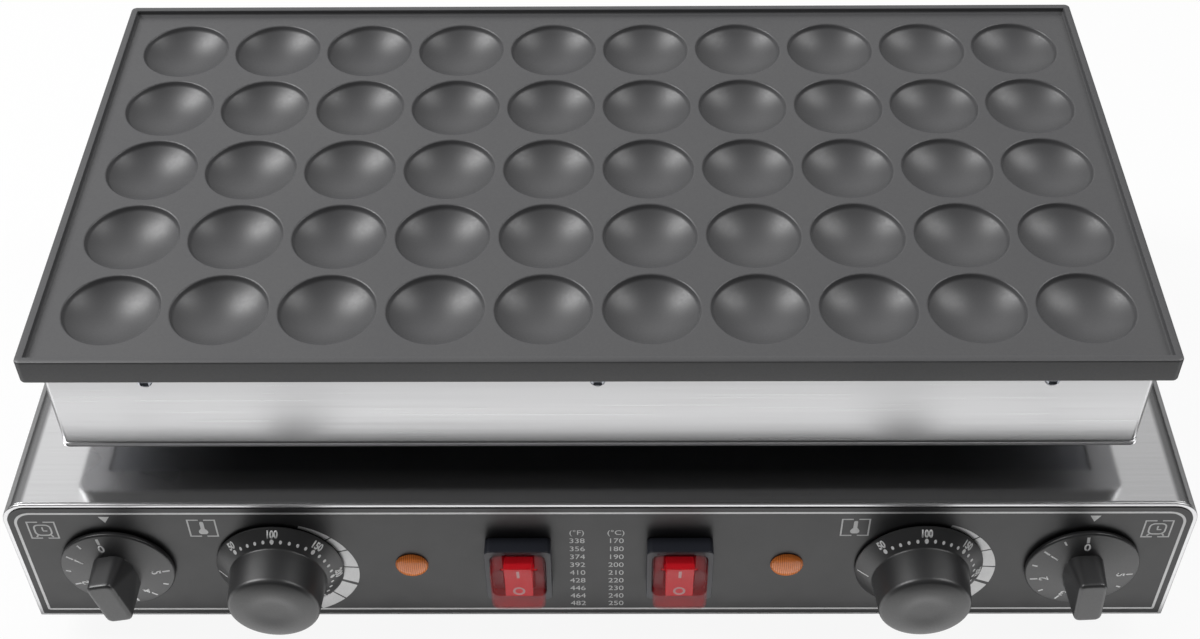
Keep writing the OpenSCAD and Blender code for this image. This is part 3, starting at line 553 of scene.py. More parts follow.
class Bench:
    """One piece in edit mode, shaped by operators. Sizes are millimetres."""

    def __init__(self, name: str, add: Callable[..., object], **settings: object) -> None:
        """Adds a primitive and opens it with everything selected.

        Args:
            name: The piece's name.
            add: Operator that adds the primitive.
            **settings: The operator's settings.
        """
        clear_selection()
        add(**settings)
        self.obj = bpy.context.object
        self.obj.name = self.obj.data.name = name
        enter("EDIT")
        select_all(Pick.VERT)

    @classmethod
    def plane(cls, name: str, w: float, d: float) -> "Bench":
        """Starts from a flat rectangle about the origin."""
        return cls(name, bpy.ops.mesh.primitive_plane_add, size=MM).scale(w, d)

    @classmethod
    def block(cls, name: str, w: float, d: float, z0: float, z1: float) -> "Bench":
        """Starts from a block about the origin, between two heights."""
        bench = cls(name, bpy.ops.mesh.primitive_cube_add, size=MM)
        return bench.scale(w, d, z1 - z0).move(z=(z0 + z1) / 2)

    @classmethod
    def disc(cls, name: str, r: float, sides: int, z: float = 0.0) -> "Bench":
        """Starts from a filled circle about the origin."""
        add = bpy.ops.mesh.primitive_circle_add
        return cls(name, add, vertices=sides, radius=r * MM, fill_type="NGON").move(z=z)

    @classmethod
    def turned(
        cls, name: str, profile: Sequence[Pair], sides: int = 64, ring: bool = False
    ) -> "Bench":
        """Turns a piece by extruding a disc along a profile.

        Args:
            name: The piece's name.
            profile: Radius and height pairs; a last radius of 0 closes in a point.
            sides: Segments around.
            ring: The profile comes back to its start, around a hole.

        Returns:
            The bench.
        """
        radius, height = profile[0]
        bench = cls.disc(name, radius, sides, height).follow(profile)
        if ring:
            bench.pick(Pick.FACE, lambda c: math.hypot(c.x, c.y) < CLOSE).drop()
        return bench

    def pick(
        self, kind: Pick, test: Callable[[Vector], bool], open_only: bool = False
    ) -> "Bench":
        """Selects elements by the place of their middle.

        Args:
            kind: Vertices, edges or faces.
            test: Says whether a middle, in millimetres, is wanted.
            open_only: Only edges that border one face or none.

        Returns:
            The bench.
        """
        bpy.ops.mesh.select_mode(type=kind.value)
        bpy.ops.mesh.select_all(action="DESELECT")
        form = bmesh.from_edit_mesh(self.obj.data)
        items = {Pick.VERT: form.verts, Pick.EDGE: form.edges, Pick.FACE: form.faces}[kind]
        for item in items:
            if open_only and len(item.link_faces) > 1:
                continue
            spots = [item.co] if kind is Pick.VERT else [v.co for v in item.verts]
            if test(sum(spots, Vector()) / len(spots) / MM):
                item.select_set(True)
        form.select_flush_mode()
        bmesh.update_edit_mesh(self.obj.data)
        return self

    def move(self, x: float = 0.0, y: float = 0.0, z: float = 0.0) -> "Bench":
        """Moves the selection."""
        bpy.ops.transform.translate(value=(x * MM, y * MM, z * MM))
        return self

    def scale(self, x: float, y: float, z: float = 1.0) -> "Bench":
        """Scales the selection about the origin."""
        bpy.ops.transform.resize(value=(x, y, z), center_override=(0, 0, 0))
        return self

    def rectangle(self, w: float, d: float, z: float, y: float = 0.0) -> "Bench":
        """Adds a rectangle about the Z axis, or behind it, and leaves it selected."""
        bpy.ops.mesh.primitive_plane_add(size=MM)
        return self.scale(w, d).move(y=y, z=z)

    def extrude(self, x: float = 0.0, y: float = 0.0, z: float = 0.0) -> "Bench":
        """Extrudes the selection along a vector."""
        bpy.ops.mesh.extrude_region_move(
            TRANSFORM_OT_translate={"value": (x * MM, y * MM, z * MM)}
        )
        return self

    def follow(self, profile: Sequence[Pair]) -> "Bench":
        """Extrudes the selected ring along a profile.

        Args:
            profile: Radius and height pairs, the ring's own first; a radius of 0 closes it.

        Returns:
            The bench.
        """
        (radius, height), *rest = profile
        for r, z in rest:
            self.extrude(z=z - height)
            if r > 0:
                self.scale(r / radius, r / radius)
            else:
                bpy.ops.mesh.merge(type="COLLAPSE")
            radius, height = r, z
        return self

    def steps(self, *steps: Pair) -> "Bench":
        """Takes the selected face inwards and up: by steps, slopes or straight walls.

        Args:
            *steps: Inset and rise of each.

        Returns:
            The bench.
        """
        for inset, rise in steps:
            if not inset:
                self.extrude(z=rise)
                continue
            bpy.ops.mesh.inset(thickness=inset * MM, depth=0.0)
            if rise:
                self.move(z=rise)
        return self

    def bevel(self, width: float, segments: int, affect: str = "EDGES") -> "Bench":
        """Rounds the selected edges or corners."""
        bpy.ops.mesh.bevel(offset=width * MM, segments=segments, affect=affect)
        return self

    def open(self) -> "Bench":
        """Takes the selected faces out and leaves their edges."""
        bpy.ops.mesh.delete(type="ONLY_FACE")
        return self

    def drop(self) -> "Bench":
        """Takes the selected faces out, with edges that border no other face."""
        bpy.ops.mesh.delete(type="FACE")
        return self

    def line(self, width: float) -> Piece:
        """Leaves a flat line along the outline of the selected face, and is done."""
        return self.steps((width, 0.0)).drop().done(flat=True)

    def done(self, angle: float = 30.0, flat: bool = False) -> Piece:
        """Merges doubles, points the faces outwards, leaves edit mode and smooths.

        Args:
            angle: Edges sharper than this stay sharp, in degrees.
            flat: A flat mark, whose faces already point its way.

        Returns:
            The piece.
        """
        select_all()
        bpy.ops.mesh.remove_doubles(threshold=MERGE * MM)
        if not flat:
            bpy.ops.mesh.normals_make_consistent(inside=False)
        enter("OBJECT")
        if not flat:
            smooth(self.obj, angle)
        return self.obj


def softened(
    node: str, width: float, segments: int = 2, angle: float = 35.0, ring: bool = False
) -> Piece:
    """Copies a solid and breaks its sharp edges, as a deburred or moulded piece has them.

    Args:
        node: The solid's name.
        width: Width of the broken edge.
        segments: Segments across it.
        angle: Edges sharper than this are broken, in degrees.
        ring: Parts the faces in the middle each way, so that none runs around an opening.

    Returns:
        The copy, which stands for the solid and rides with it.
    """
    source = frame["nodes"][node]
    body = source["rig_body"]
    piece = twin(source, f"{node}_finished")
    piece.parent = None
    piece.matrix_world = Matrix.Identity(4)
    activate(piece)
    enter("EDIT")
    select_all()
    bpy.ops.mesh.remove_doubles(threshold=MERGE / 2 * MM)
    bpy.ops.mesh.dissolve_limited(angle_limit=FLAT)
    for normal in ((1, 0, 0), (0, 1, 0), (0, 0, 1)) if ring else ():
        select_all()
        bpy.ops.mesh.bisect(plane_co=middle(node) * MM, plane_no=normal)
    enter("OBJECT")
    apply_modifier(
        piece, "BEVEL", width=width * MM, segments=segments, limit_method="ANGLE",
        angle_limit=math.radians(angle), use_clamp_overlap=False, harden_normals=False,
    )
    smooth(piece, angle)
    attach(piece, body)
    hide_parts(node)
    return piece


def thicken(sheet: Piece, thickness: float) -> None:
    """Gives a flat mark or a shell a thickness, away from its face."""
    apply_modifier(sheet, "SOLIDIFY", thickness=thickness * MM, offset=-1.0)


def lay_on(mark: Piece, target: Piece, axis: str, lift: float = 0.05) -> None:
    """Lays a flat mark on a surface and gives it the thickness of print.

    Args:
        mark: The flat mark, in front of the surface.
        target: The piece that carries it.
        axis: Axis that the mark is pressed along, "y" or "z".
        lift: How far the print stands proud.
    """
    ways = (f"use_project_{axis}", "use_negative_direction", "use_positive_direction")
    apply_modifier(
        mark, "SHRINKWRAP", wrap_method="PROJECT", wrap_mode="ABOVE_SURFACE", target=target,
        offset=lift * MM, **dict.fromkeys(ways, True),
    )
    thicken(mark, 2 * lift)


def lettering(text: str, size: float, bold: float = 0.0) -> Piece:
    """Makes flat figures about the origin.

    Args:
        text: The figures.
        size: Letter size in millimetres.
        bold: How far their outline grows.

    Returns:
        Their mesh.
    """
    clear_selection()
    bpy.ops.object.text_add()
    curve = bpy.context.object.data
    curve.body = text
    curve.size = size * MM
    curve.offset = bold * MM
    curve.align_x = curve.align_y = "CENTER"
    curve.fill_mode = "FRONT"
    bpy.ops.object.convert(target="MESH")
    obj = bpy.context.object
    obj.name = "figures"
    return obj


def bar(w: float, d: float, cuts: int = 0) -> Piece:
    """Makes a flat bar about the origin.

    Args:
        w: Width.
        d: Length.
        cuts: Cuts across it, so that it can follow a curve.

    Returns:
        The bar.
    """
    bench = Bench.plane("bar", w, d)
    if cuts:
        bpy.ops.mesh.subdivide(number_cuts=cuts)
    return bench.done(flat=True)


def dot(r: float, sides: int = 20) -> Piece:
    """Makes a flat dot about the origin."""
    return Bench.disc("dot", r, sides).done(flat=True)


@dataclass
class BakingPlate:
    """Cast plate with rows of shallow cups, a raised rim and a wall underneath.

    The rim and the lip below it are given as inset and rise of each step.
    """

    columns: int = 10
    rows: int = 5
    pitch: float = 49.8
    middle_y: float = 1.3
    face_z: float = 184.3
    top_z: float = 187.3
    width: float = 520.4
    depth: float = 272.8
    corner_r: float = 3.0
    cup_r: float = 22.75
    cup_depth: float = 10.5
    wall_h: float = 2.25
    wall_slope: float = 68.0
    mouth_r: float = 1.0
    mouth_flat: float = 0.4
    fillet_r: float = 3.0
    lip_z: float = 174.0
    lip_round: float = 0.8
    lip_steps: Pairs = ((0.23, -0.57), (0.57, -0.23))
    wall_outline: Pair = (503.6, 256.0)
    wall_depth: float = 16.0
    wall_t: float = 6.0
    hollow: float = 8.3
    edges_per_side: int = 12
    rim_flat: float = 3.1
    rim_round: float = 1.0
    rim_outside: Pairs = ((0.3, 0.7), (0.7, 0.3))
    rim_inside: Pairs = (
        (0.5, -0.2), (0.2, -0.5), (0, -0.9), (0.05, -0.36), (0.14, -0.34), (0.22, -0.29),
        (0.29, -0.22), (0.34, -0.14), (0.36, -0.05),
    )

    def cup_rings(self) -> list[Pair]:
        """Rings of a cup from the face down to its lowest point.

        Returns:
            Radius and height below the face of each ring.
        """
        slope = math.radians(self.wall_slope)
        down = Vector((-math.cos(slope), -math.sin(slope)))
        inward = Vector((-math.sin(slope), math.cos(slope)))
        floor_r = self.cup_r - self.wall_h / math.tan(slope)
        bowl_h = self.cup_depth - self.wall_h
        bowl_r = (floor_r**2 + bowl_h**2) / (2 * bowl_h)
        bowl_z = bowl_r - self.cup_depth
        mouth_x = self.cup_r + self.mouth_r * math.tan(slope / 2)
        start = Vector((self.cup_r, -bowl_z)) + self.fillet_r * inward
        lean = start.dot(down)
        reach = (bowl_r - self.fillet_r) ** 2
        run = -lean + math.sqrt(lean**2 - start.length_squared + reach)
        turn_x, turn_z = start + run * down
        meet = math.degrees(math.atan2(turn_z, turn_x))
        mouth = arc(mouth_x, -self.mouth_r, self.mouth_r, 90.0, 90.0 + self.wall_slope, 6)
        foot = arc(turn_x, turn_z + bowl_z, self.fillet_r, self.wall_slope - 90.0, meet, 4)
        bowl = arc(0.0, bowl_z, bowl_r, meet, -90.0, 10)
        edge, lowest = (mouth_x + self.mouth_flat, 0.0), (0.0, -self.cup_depth)
        return [edge, *mouth, *foot, *bowl[1:-1], lowest]

    def cell(self) -> Bench:
        """Models one cup in its square of the face.

        Returns:
            The bench, with the square about the origin.
        """
        bench = Bench.plane("baking_plate_cast", self.pitch, self.pitch)
        bpy.ops.mesh.subdivide(number_cuts=self.edges_per_side - 1)
        select_all()
        bpy.ops.mesh.dissolve_faces(use_verts=False)
        bench.open()
        rings = self.cup_rings()
        radius = rings[0][0]
        bpy.ops.mesh.primitive_circle_add(vertices=4 * self.edges_per_side, radius=radius * MM)
        select_all(Pick.EDGE)
        bpy.ops.mesh.bridge_edge_loops()
        bench.pick(Pick.EDGE, lambda c: math.hypot(c.x, c.y) < radius, open_only=True)
        return bench.follow(rings)

    def build(self) -> None:
        """Models the plate and puts the coat on it."""
        bench = self.cell()
        enter("OBJECT")
        step = self.pitch * MM
        for count, offset in ((self.columns, (step, 0, 0)), (self.rows, (0, step, 0))):
            apply_modifier(
                bench.obj, "ARRAY", count=count, use_relative_offset=False,
                use_constant_offset=True, constant_offset_displace=offset,
                use_merge_vertices=True, merge_threshold=CLOSE * MM,
            )
        enter("EDIT")
        select_all()
        left = -(self.columns - 1) / 2 * self.pitch
        front = self.middle_y - (self.rows - 1) / 2 * self.pitch
        bench.move(left, front, self.face_z)
        self.rim(bench)
        self.underside(bench)
        stand_in(bench.done(40.0), COAT, "baking_plate")

    def pick_sheet(self, bench: Bench, z: float) -> Bench:
        """Selects the face across the whole plate at a height; no ring of a cup is like it."""
        return bench.pick(Pick.FACE, lambda c: abs(c.z - z) < CLOSE and abs(c.x) < CLOSE)

    def pick_open(self, bench: Bench, z: float, within: float = CLOSE) -> Bench:
        """Selects the open edges at a height."""
        return bench.pick(Pick.EDGE, lambda c: abs(c.z - z) < within, open_only=True)

    def rim(self, bench: Bench) -> None:
        """Raises the rim around the cups and joins it to the face.

        Args:
            bench: The face with its cups.
        """
        low = self.lip_z + self.lip_round
        wide, deep, y = self.width, self.depth, self.middle_y
        bench.rectangle(wide, deep, low, y).bevel(self.corner_r, 8, "VERTICES")
        rise = self.top_z - self.rim_round - low
        self.pick_sheet(bench, low).steps((0, rise), *self.rim_outside).open()
        flat = 2 * self.rim_flat
        bench.rectangle(wide - flat, deep - flat, self.top_z, y)
        bench.steps(*self.rim_inside).open()
        for level in (self.top_z, self.face_z):
            self.pick_open(bench, level, 2 * CLOSE)
            bpy.ops.mesh.fill(use_beauty=True)

    def underside(self, bench: Bench) -> None:
        """Closes the plate below, with the wall that stands inside the housing.

        Args:
            bench: The face with its cups and rim.
        """
        self.pick_sheet(bench, self.lip_z + self.lip_round).steps(*self.lip_steps).open()
        bench.rectangle(*self.wall_outline, self.lip_z, self.middle_y).open()
        self.pick_open(bench, self.lip_z)
        bpy.ops.mesh.fill(use_beauty=True)
        self.pick_open(bench, self.lip_z)
        bpy.ops.mesh.edge_face_add()
        bench.steps((0, -self.wall_depth), (self.wall_t, 0), (0, self.hollow))


@dataclass
class PanScrew:
    """Pan head screw with a cross recess, head up, its seat at the origin."""

    shank_r: float = 2.0
    head_r: float = 3.6
    head_h: float = 2.2
    wall_h: float = 0.7
    edge: float = 0.2
    cross_w: float = 0.95
    cross_reach: float = 1.9
    cross_depth: float = 1.3
    cutter_top: float = 4.0

    def build(self, length: float) -> Piece:
        """Models the screw.

        Args:
            length: Length below the head.

        Returns:
            The screw.
        """
        profile = [
            (self.shank_r, -length), (self.shank_r, 0.0), (self.head_r - self.edge, 0.0),
            (self.head_r, self.edge), *dome(self.head_r, self.wall_h, self.head_h, 18, 5),
        ]
        screw = Bench.turned("pan_screw", profile, 32).done()
        half = self.cross_w / 2
        reach = self.cross_reach - half
        bottom = self.head_h - self.cross_depth
        cutter = Bench.block("cross", self.cross_w, self.cross_w, bottom, self.cutter_top)
        for x, y in ((1, 0), (-1, 0), (0, 1), (0, -1)):
            cutter.pick(Pick.FACE, lambda c, x=x, y=y: c.x * x + c.y * y > half * 0.9)
            cutter.extrude(x=x * reach, y=y * reach)
        carve(screw, cutter.done())
        smooth(screw, 30.0, weighted=False)
        return screw

    def fit(self, node: str, length: float, places: Iterable[tuple[Triple, Triple]]) -> None:
        """Sets screws where a node has them.

        Args:
            node: The node that they stand for.
            length: Length below the head.
            places: Seat and head direction of each.
        """
        up = Vector((0, 0, 1))
        spots = [
            shift(*at) @ up.rotation_difference(Vector(way)).to_matrix().to_4x4()
            for at, way in places
        ]
        stand_in(repeat(self.build(length), spots, f"{node}_recessed"), ZINC, node)


@dataclass
class HeatingBox:
    """Stainless skirt under the plate, with its screws and those of the pan below."""

    half_w: float = 253.2
    half_d: float = 129.4
    middle_y: float = 1.3
    screw_z: float = 168.4
    screw_x: Triple = (-206.0, 0.0, 206.0)
    screw_y: float = 70.0
    bottom_z: float = 123.0
    flange_mid: float = 6.0
    sheet_t: float = 1.2
    plate_bite: float = 6.2
    screw: PanScrew = field(default_factory=PanScrew)

    def build(self) -> None:
        """Finishes the housing and sets its screws."""
        STAINLESS_UPRIGHT.dress(softened("upper_housing", 0.3, ring=True))
        walls, pans = [], []
        down = (0, 0, -1)
        back = self.middle_y + self.half_d - self.flange_mid
        for s in BOTH:
            wall_y = self.middle_y + s * self.half_d
            walls += [((x, wall_y, self.screw_z), (0, s, 0)) for x in self.screw_x]
            for t in BOTH:
                y = self.middle_y + t * self.screw_y
                walls.append(((s * self.half_w, y, self.screw_z), (s, 0, 0)))
                pans.append(((s * (self.half_w - self.flange_mid), y, self.bottom_z), down))
            pans.append(((s * self.screw_x[2] / 2, back, self.bottom_z), down))
        self.screw.fit("housing_screws", self.sheet_t + self.plate_bite, walls)
        self.screw.fit("pan_screws", 2 * self.sheet_t, pans)


@dataclass
class Base:
    """Wide stainless base: bent shell, panels, cover, posts, feet and cable gland."""

    half_w: float = 283.6
    bottom_z: float = 18.0
    height: float = 88.5
    back_y: float = 158.7
    panel_t: float = 1.5
    sheet_t: float = 1.2
    flange_mid: float = 6.0
    rear_share: Pair = (0.2, 0.7)
    cover_x: float = 274.9
    cover_y: Triple = (-119.3, 3.95, 127.2)
    foot_x: float = 221.6
    foot_y: Pair = (-103.3, 110.7)
    foot_profile: Pairs = (
        (2.7, 18.0), (2.7, 8.0), (5.2, 8.0), (5.2, 0.6), (5.8, 0.0), (13.2, 0.0), (14.2, 0.25),
        (14.9, 0.95), (15.2, 1.9), (15.9, 8.0), (15.5, 8.6), (15.6, 9.4), (16.1, 10.0),
        (16.8, 16.6), (16.6, 17.5), (15.9, 18.0), (2.7, 18.0),
    )
    screw: PanScrew = field(default_factory=PanScrew)

    def build(self) -> None:
        """Finishes the sheet metal and sets screws, feet and gland."""
        STAINLESS.dress(softened("base_shell", 0.3))
        STAINLESS_UPRIGHT.dress(softened("control_panel", 0.6, 3))
        STAINLESS_UPRIGHT.dress(softened("rear_panel", 0.3))
        GALVANISED.dress(softened("bottom_cover", 0.25, 1))
        ZINC.dress(softened("support_posts", 0.8, 3))
        STAINLESS_UPRIGHT.dress(softened("wire_conduits", 0.3))
        NYLON.dress(softened("cable_gland", 0.6, 3, ring=True))
        self.feet()
        end = self.half_w - self.flange_mid
        top = self.bottom_z + self.height - self.flange_mid
        rear = [(s * end, self.bottom_z + h * self.height) for s in BOTH for h in self.rear_share]
        rear += [(x * self.half_w / 2, top) for x in (-1, 0, 1)]
        seats = [((x, self.back_y, z), (0, 1, 0)) for x, z in rear]
        self.screw.fit("rear_screws", self.panel_t + self.sheet_t, seats)
        cover = [(s * self.cover_x, y, self.bottom_z) for s in BOTH for y in self.cover_y]
        self.screw.fit("cover_screws", 2 * self.sheet_t, [(at, (0, 0, -1)) for at in cover])

    def feet(self) -> None:
        """Turns one rubber foot and sets four."""
        foot = Bench.turned("foot", self.foot_profile, 48, ring=True).done(28.0)
        places = [shift(s * self.foot_x, y) for s in BOTH for y in self.foot_y]
        stand_in(repeat(foot, places, "feet_moulded"), RUBBER, "feet")


@dataclass
class Knob:
    """What the two kinds of knob share: a turned body on a shaft of the panel.

    A figure is given as its size, its boldness and its distance from the axis.
    """

    kind: str
    shaft: str
    rest: Pair = (0.0, 0.0)
    gap: float = 0.8
    hub_z: float = 3.7
    bore_r: float = 3.05

    def set_out(self, body: Piece, marks: Piece) -> None:
        """Sets the modelled knob and its marks on both sides; the patterns are removed.

        Args:
            body: The knob in panel coordinates.
            marks: Its print, in panel coordinates.
        """
        for side, angle in zip(SIDES, self.rest):
            place = in_front(f"{self.shaft}_{side}") @ turn(angle)
            ride = f"{self.kind}_dial_{side}"
            node = f"{self.kind}_knob_{side}"
            stand_in(settle(twin(body, f"{node}_moulded"), place), PHENOLIC, node, ride)
            ink = settle(twin(marks, f"{self.kind}_marks_{side}"), place)
            WHITE_INK.dress(ink)
            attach(ink, ride)
        bpy.data.objects.remove(body)
        bpy.data.objects.remove(marks)


@dataclass
class TimerKnob(Knob):
    """Low dial with a bar grip, marked from 0 to 5. A tick has a length and a distance."""

    kind: str = "timer"
    shaft: str = "timer_shaft"
    rest: Pair = (12.0, 4.0)
    dial_r: float = 27.5
    dial_h: float = 5.6
    total_h: float = 24.0
    edge: Pair = (0.7, 0.2)
    rim_r: float = 1.2
    rim_drop: float = 3.2
    slope: Pair = (20.0, 0.95)
    hollow_r: float = 12.0
    bore_z: float = 16.0
    bar_low: Triple = (17.5, 27.0, 6.0)
    bar_top: Triple = (13.0, 28.5, 3.0)
    bar_edge: float = 1.2
    belly_r: float = 10.2
    bite: float = 1.6
    skin_grid: float = 0.6
    unit: float = 51.6
    last: int = 5
    tick_w: Pair = (0.95, 1.4)
    long_tick: Pair = (3.6, 23.6)
    short_tick: Pair = (2.6, 24.0)
    figure: Triple = (6.2, 0.14, 18.7)

    def build(self) -> None:
        """Models the knob and its scale."""
        r, g, top = self.dial_r, self.gap, self.dial_h
        deep, fine = self.edge
        slope_r, slope_drop = self.slope
        rim = arc(r - self.rim_r, top - self.rim_drop, self.rim_r, 0.0, 78.0, 5)
        profile = [
            (self.hollow_r, self.hub_z), (self.hollow_r, g), (r - deep, g), (r - fine, g + fine),
            (r, g + deep), *rim, (slope_r, top - slope_drop), (self.hollow_r + 1.0, top),
            (0.0, top),
        ]
        dial = Bench.turned("timer_dial", profile, 96).done()
        marks = self.scale_marks(dial)
        bore = Bench.turned("bore", [(self.bore_r, 0.0), (self.bore_r, self.bore_z)], 32).done()
        carve(dial, self.grip(), "UNION")
        carve(dial, bore)
        smooth(dial, 32.0)
        self.set_out(dial, marks)

    def grip(self) -> Piece:
        """Models the bar: narrow and long at its end, with a round belly at the dial.

        Returns:
            The bar.
        """
        foot_z = self.dial_h - self.bite
        bench = Bench.disc("timer_grip", self.belly_r, 48, foot_z)
        for (w, d, r), z in ((self.bar_low, foot_z), (self.bar_top, self.total_h)):
            bench.rectangle(w, d, z).bevel(r, 8, "VERTICES")
        select_all()
        bpy.ops.mesh.convex_hull(use_existing_faces=False, join_triangles=False)
        bpy.ops.mesh.dissolve_limited(angle_limit=FLAT)
        bench.pick(Pick.EDGE, lambda c: c.z > self.total_h - CLOSE).bevel(self.bar_edge, 4)
        grip = bench.done()
        apply_modifier(grip, "REMESH", mode="VOXEL", voxel_size=self.skin_grid * MM)
        apply_modifier(grip, "SMOOTH", factor=0.5, iterations=6)
        return grip

    def scale_marks(self, dial: Piece) -> Piece:
        """Prints the scale: a long tick and a figure for each step, a short tick between.

        Args:
            dial: The dial that carries it.

        Returns:
            The print, in panel coordinates.
        """
        parts = []
        size, bold, figure_at = self.figure
        for k in range(2 * self.last + 1):
            spin = turn(k * self.unit / 2)
            length, tick_at = self.short_tick if k % 2 else self.long_tick
            tick = bar(self.tick_w[0 if k else 1], length)
            parts.append(settle(tick, spin @ shift(0, tick_at, AFAR)))
            if k % 2 == 0:
                figure = lettering(str(k // 2), size, bold)
                parts.append(settle(figure, spin @ shift(0, figure_at, AFAR)))
        marks = join(parts, "timer_marks")
        lay_on(marks, dial, "z")
        return marks


@dataclass
class TemperatureKnob(Knob):
    """Flared skirt with a scale of dots, a tall grip and a cap with a shallow dish.

    The dish is given as radius and depth below the cap's top.
    """

    kind: str = "temperature"
    shaft: str = "thermostat_shaft"
    skirt_r: float = 31.0
    skirt_edge: Triple = (0.3, 0.9, 1.45)
    lean: float = 0.35
    grip_r: float = 23.3
    grip_round: float = 1.5
    cap_r: float = 22.2
    cap_round: float = 2.9
    skirt_h: float = 7.6
    total_h: float = 28.4
    cap_h: float = 4.0
    dish: Pairs = (
        (18.6, 0.72), (16.4, 0.3), (14.4, 0.06), (12.8, 0.0), (11.2, 0.1), (9.6, 0.33),
        (7.8, 0.64), (6.0, 0.86), (3.5, 0.97), (0.0, 1.0),
    )
    wall: float = 2.0
    hub_r: float = 7.0
    bore_z: float = 20.4
    dot_step: float = 9.25
    first_dot: int = -5
    last_dot: int = 16
    dot_r: Pair = (0.72, 0.95)
    dot_at: float = 25.9
    figure_every: int = 5
    figure: Triple = (3.9, 0.17, 28.5)
    heat_at_mark: int = 100
    heat_per_dot: int = 10
    print_lift: float = 0.08
    line: Pair = (0.7, 5.0)
    line_at: Pair = (92.0, 27.4)

    def build(self) -> None:
        """Models the knob and its scale."""
        cap_z = self.total_h - self.cap_h
        edge = arc(self.cap_r - self.cap_round, cap_z, self.cap_round, 0.0, 72.0, 8)
        dish = [(r, self.total_h - drop) for r, drop in self.dish]
        soft, r, g, t = self.grip_round, self.skirt_r, self.gap, self.wall
        low, mid, high = self.skirt_edge
        foot = arc(self.grip_r + soft, self.skirt_h + soft, soft, 246.0, 181.0, 5)
        profile = [
            (self.bore_r, self.bore_z), (self.bore_r, self.hub_z), (self.hub_r, self.hub_z),
            (self.hub_r, cap_z - t), (self.cap_r - t, cap_z - t),
            (self.grip_r - t, self.skirt_h - t), (r - t, g), (r - low, g), (r, g + low),
            (r, g + mid), (r - self.lean, g + high), *foot, *edge, *dish,
        ]
        knob = Bench.turned("temperature_body", profile, 96).done()
        parts = []
        size, bold, figure_at = self.figure
        for k in range(self.first_dot, self.last_dot + 1):
            spin = turn(-k * self.dot_step)
            named = k % self.figure_every == 0
            spot = dot(self.dot_r[named])
            parts.append(settle(spot, spin @ shift(0, self.dot_at, AFAR)))
            if named:
                heat = self.heat_at_mark + self.heat_per_dot * k
                figure = lettering(str(heat), size, bold)
                parts.append(settle(figure, spin @ shift(0, figure_at, AFAR)))
        angle, line_at = self.line_at
        parts.append(settle(bar(*self.line), turn(angle) @ shift(0, line_at, AFAR)))
        marks = join(parts, "temperature_marks")
        lay_on(marks, knob, "z", self.print_lift)
        self.set_out(knob, marks)


@dataclass
class RockerSwitch:
    """Frame, rocker and clear boot of one switch. A mark has two sizes and a height."""

    boot_w: float = 26.0
    boot_h: float = 32.0
    boot_low: float = 5.0
    boot_top: float = 17.4
    boot_t: float = 1.2
    boot_r: float = 4.0
    boot_edge: float = 1.6
    one: Triple = (1.4, 8.0, 5.3)
    nought: Triple = (3.0, 1.1, -9.8)
    one_cuts: int = 11
    print_lift: float = 0.04

    def build(self) -> None:
        """Finishes the frames and rockers, and covers them with boots."""
        pattern = self.boot()
        wide, tall, one_at = self.one
        r, line, nought_at = self.nought
        for side in SIDES:
            node = f"switch_boot_{side}"
            place = in_front(node)
            stand_in(settle(twin(pattern, f"{node}_moulded"), place), BOOT, node)
            NYLON.dress(softened(f"switch_frame_{side}", 0.5, 3))
            rocker = softened(f"switch_rocker_{side}", 0.5, 3)
            # The rocker's finish carries a painted glow against the shade of its boot.
            RED_PAINTED_GLOW.dress(rocker)
            one = settle(bar(wide, tall, self.one_cuts), place @ shift(0, one_at, AFAR))
            hoop = Bench.disc("hoop", r, 40).line(line)
            nought = settle(hoop, place @ shift(0, nought_at, AFAR))
            marks = join([one, nought], f"switch_marks_{side}")
            lay_on(marks, rocker, "y", self.print_lift)
            WHITE_INK.dress(marks)
            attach(marks, f"rocker_{side}")
        bpy.data.objects.remove(pattern)

    def boot(self) -> Piece:
        """Models the boot: a hollow box with round edges, open behind.

        Returns:
            The boot, in panel coordinates.
        """
        low, top = self.boot_low, self.boot_top
        bench = Bench.block("boot", self.boot_w, self.boot_h, low, top)
        bench.pick(Pick.EDGE, lambda c: low + 1 < c.z < top - 1).bevel(self.boot_r, 8)
        bench.pick(Pick.EDGE, lambda c: c.z > top - CLOSE).bevel(self.boot_edge, 5)
        bench.pick(Pick.FACE, lambda c: c.z < low + CLOSE).drop()
        shell = bench.done(40.0)
        thicken(shell, self.boot_t)
        return shell


@dataclass
class SignalLamp:
    """Amber lens with a flange and a low dome."""

    flange_r: float = 8.0
    flange_h: float = 0.7
    edge: float = 0.2
    stem_r: float = 6.4
    bore_r: float = 5.4
    bore_z: float = 1.0
    stem_l: float = 5.0
    dome_share: float = 0.97
    dome_z: float = 0.95
    proud: float = 3.4

    def build(self) -> None:
        """Models the lens and sets one on each side."""
        r = self.flange_r
        profile = [
            (self.bore_r, self.bore_z), (self.bore_r, -self.stem_l), (self.stem_r, -self.stem_l),
            (self.stem_r, 0.0), (r - self.edge, 0.0), (r, self.edge), (r, self.flange_h),
            *dome(r * self.dome_share, self.dome_z, self.proud, 10, 9),
        ]
        lens = Bench.turned("lamp_lens", profile, 64).done(35.0)
        for side in SIDES:
            node = f"lamp_lens_{side}"
            stand_in(settle(twin(lens, f"{node}_moulded"), in_front(node)), AMBER, node)
        bpy.data.objects.remove(lens)


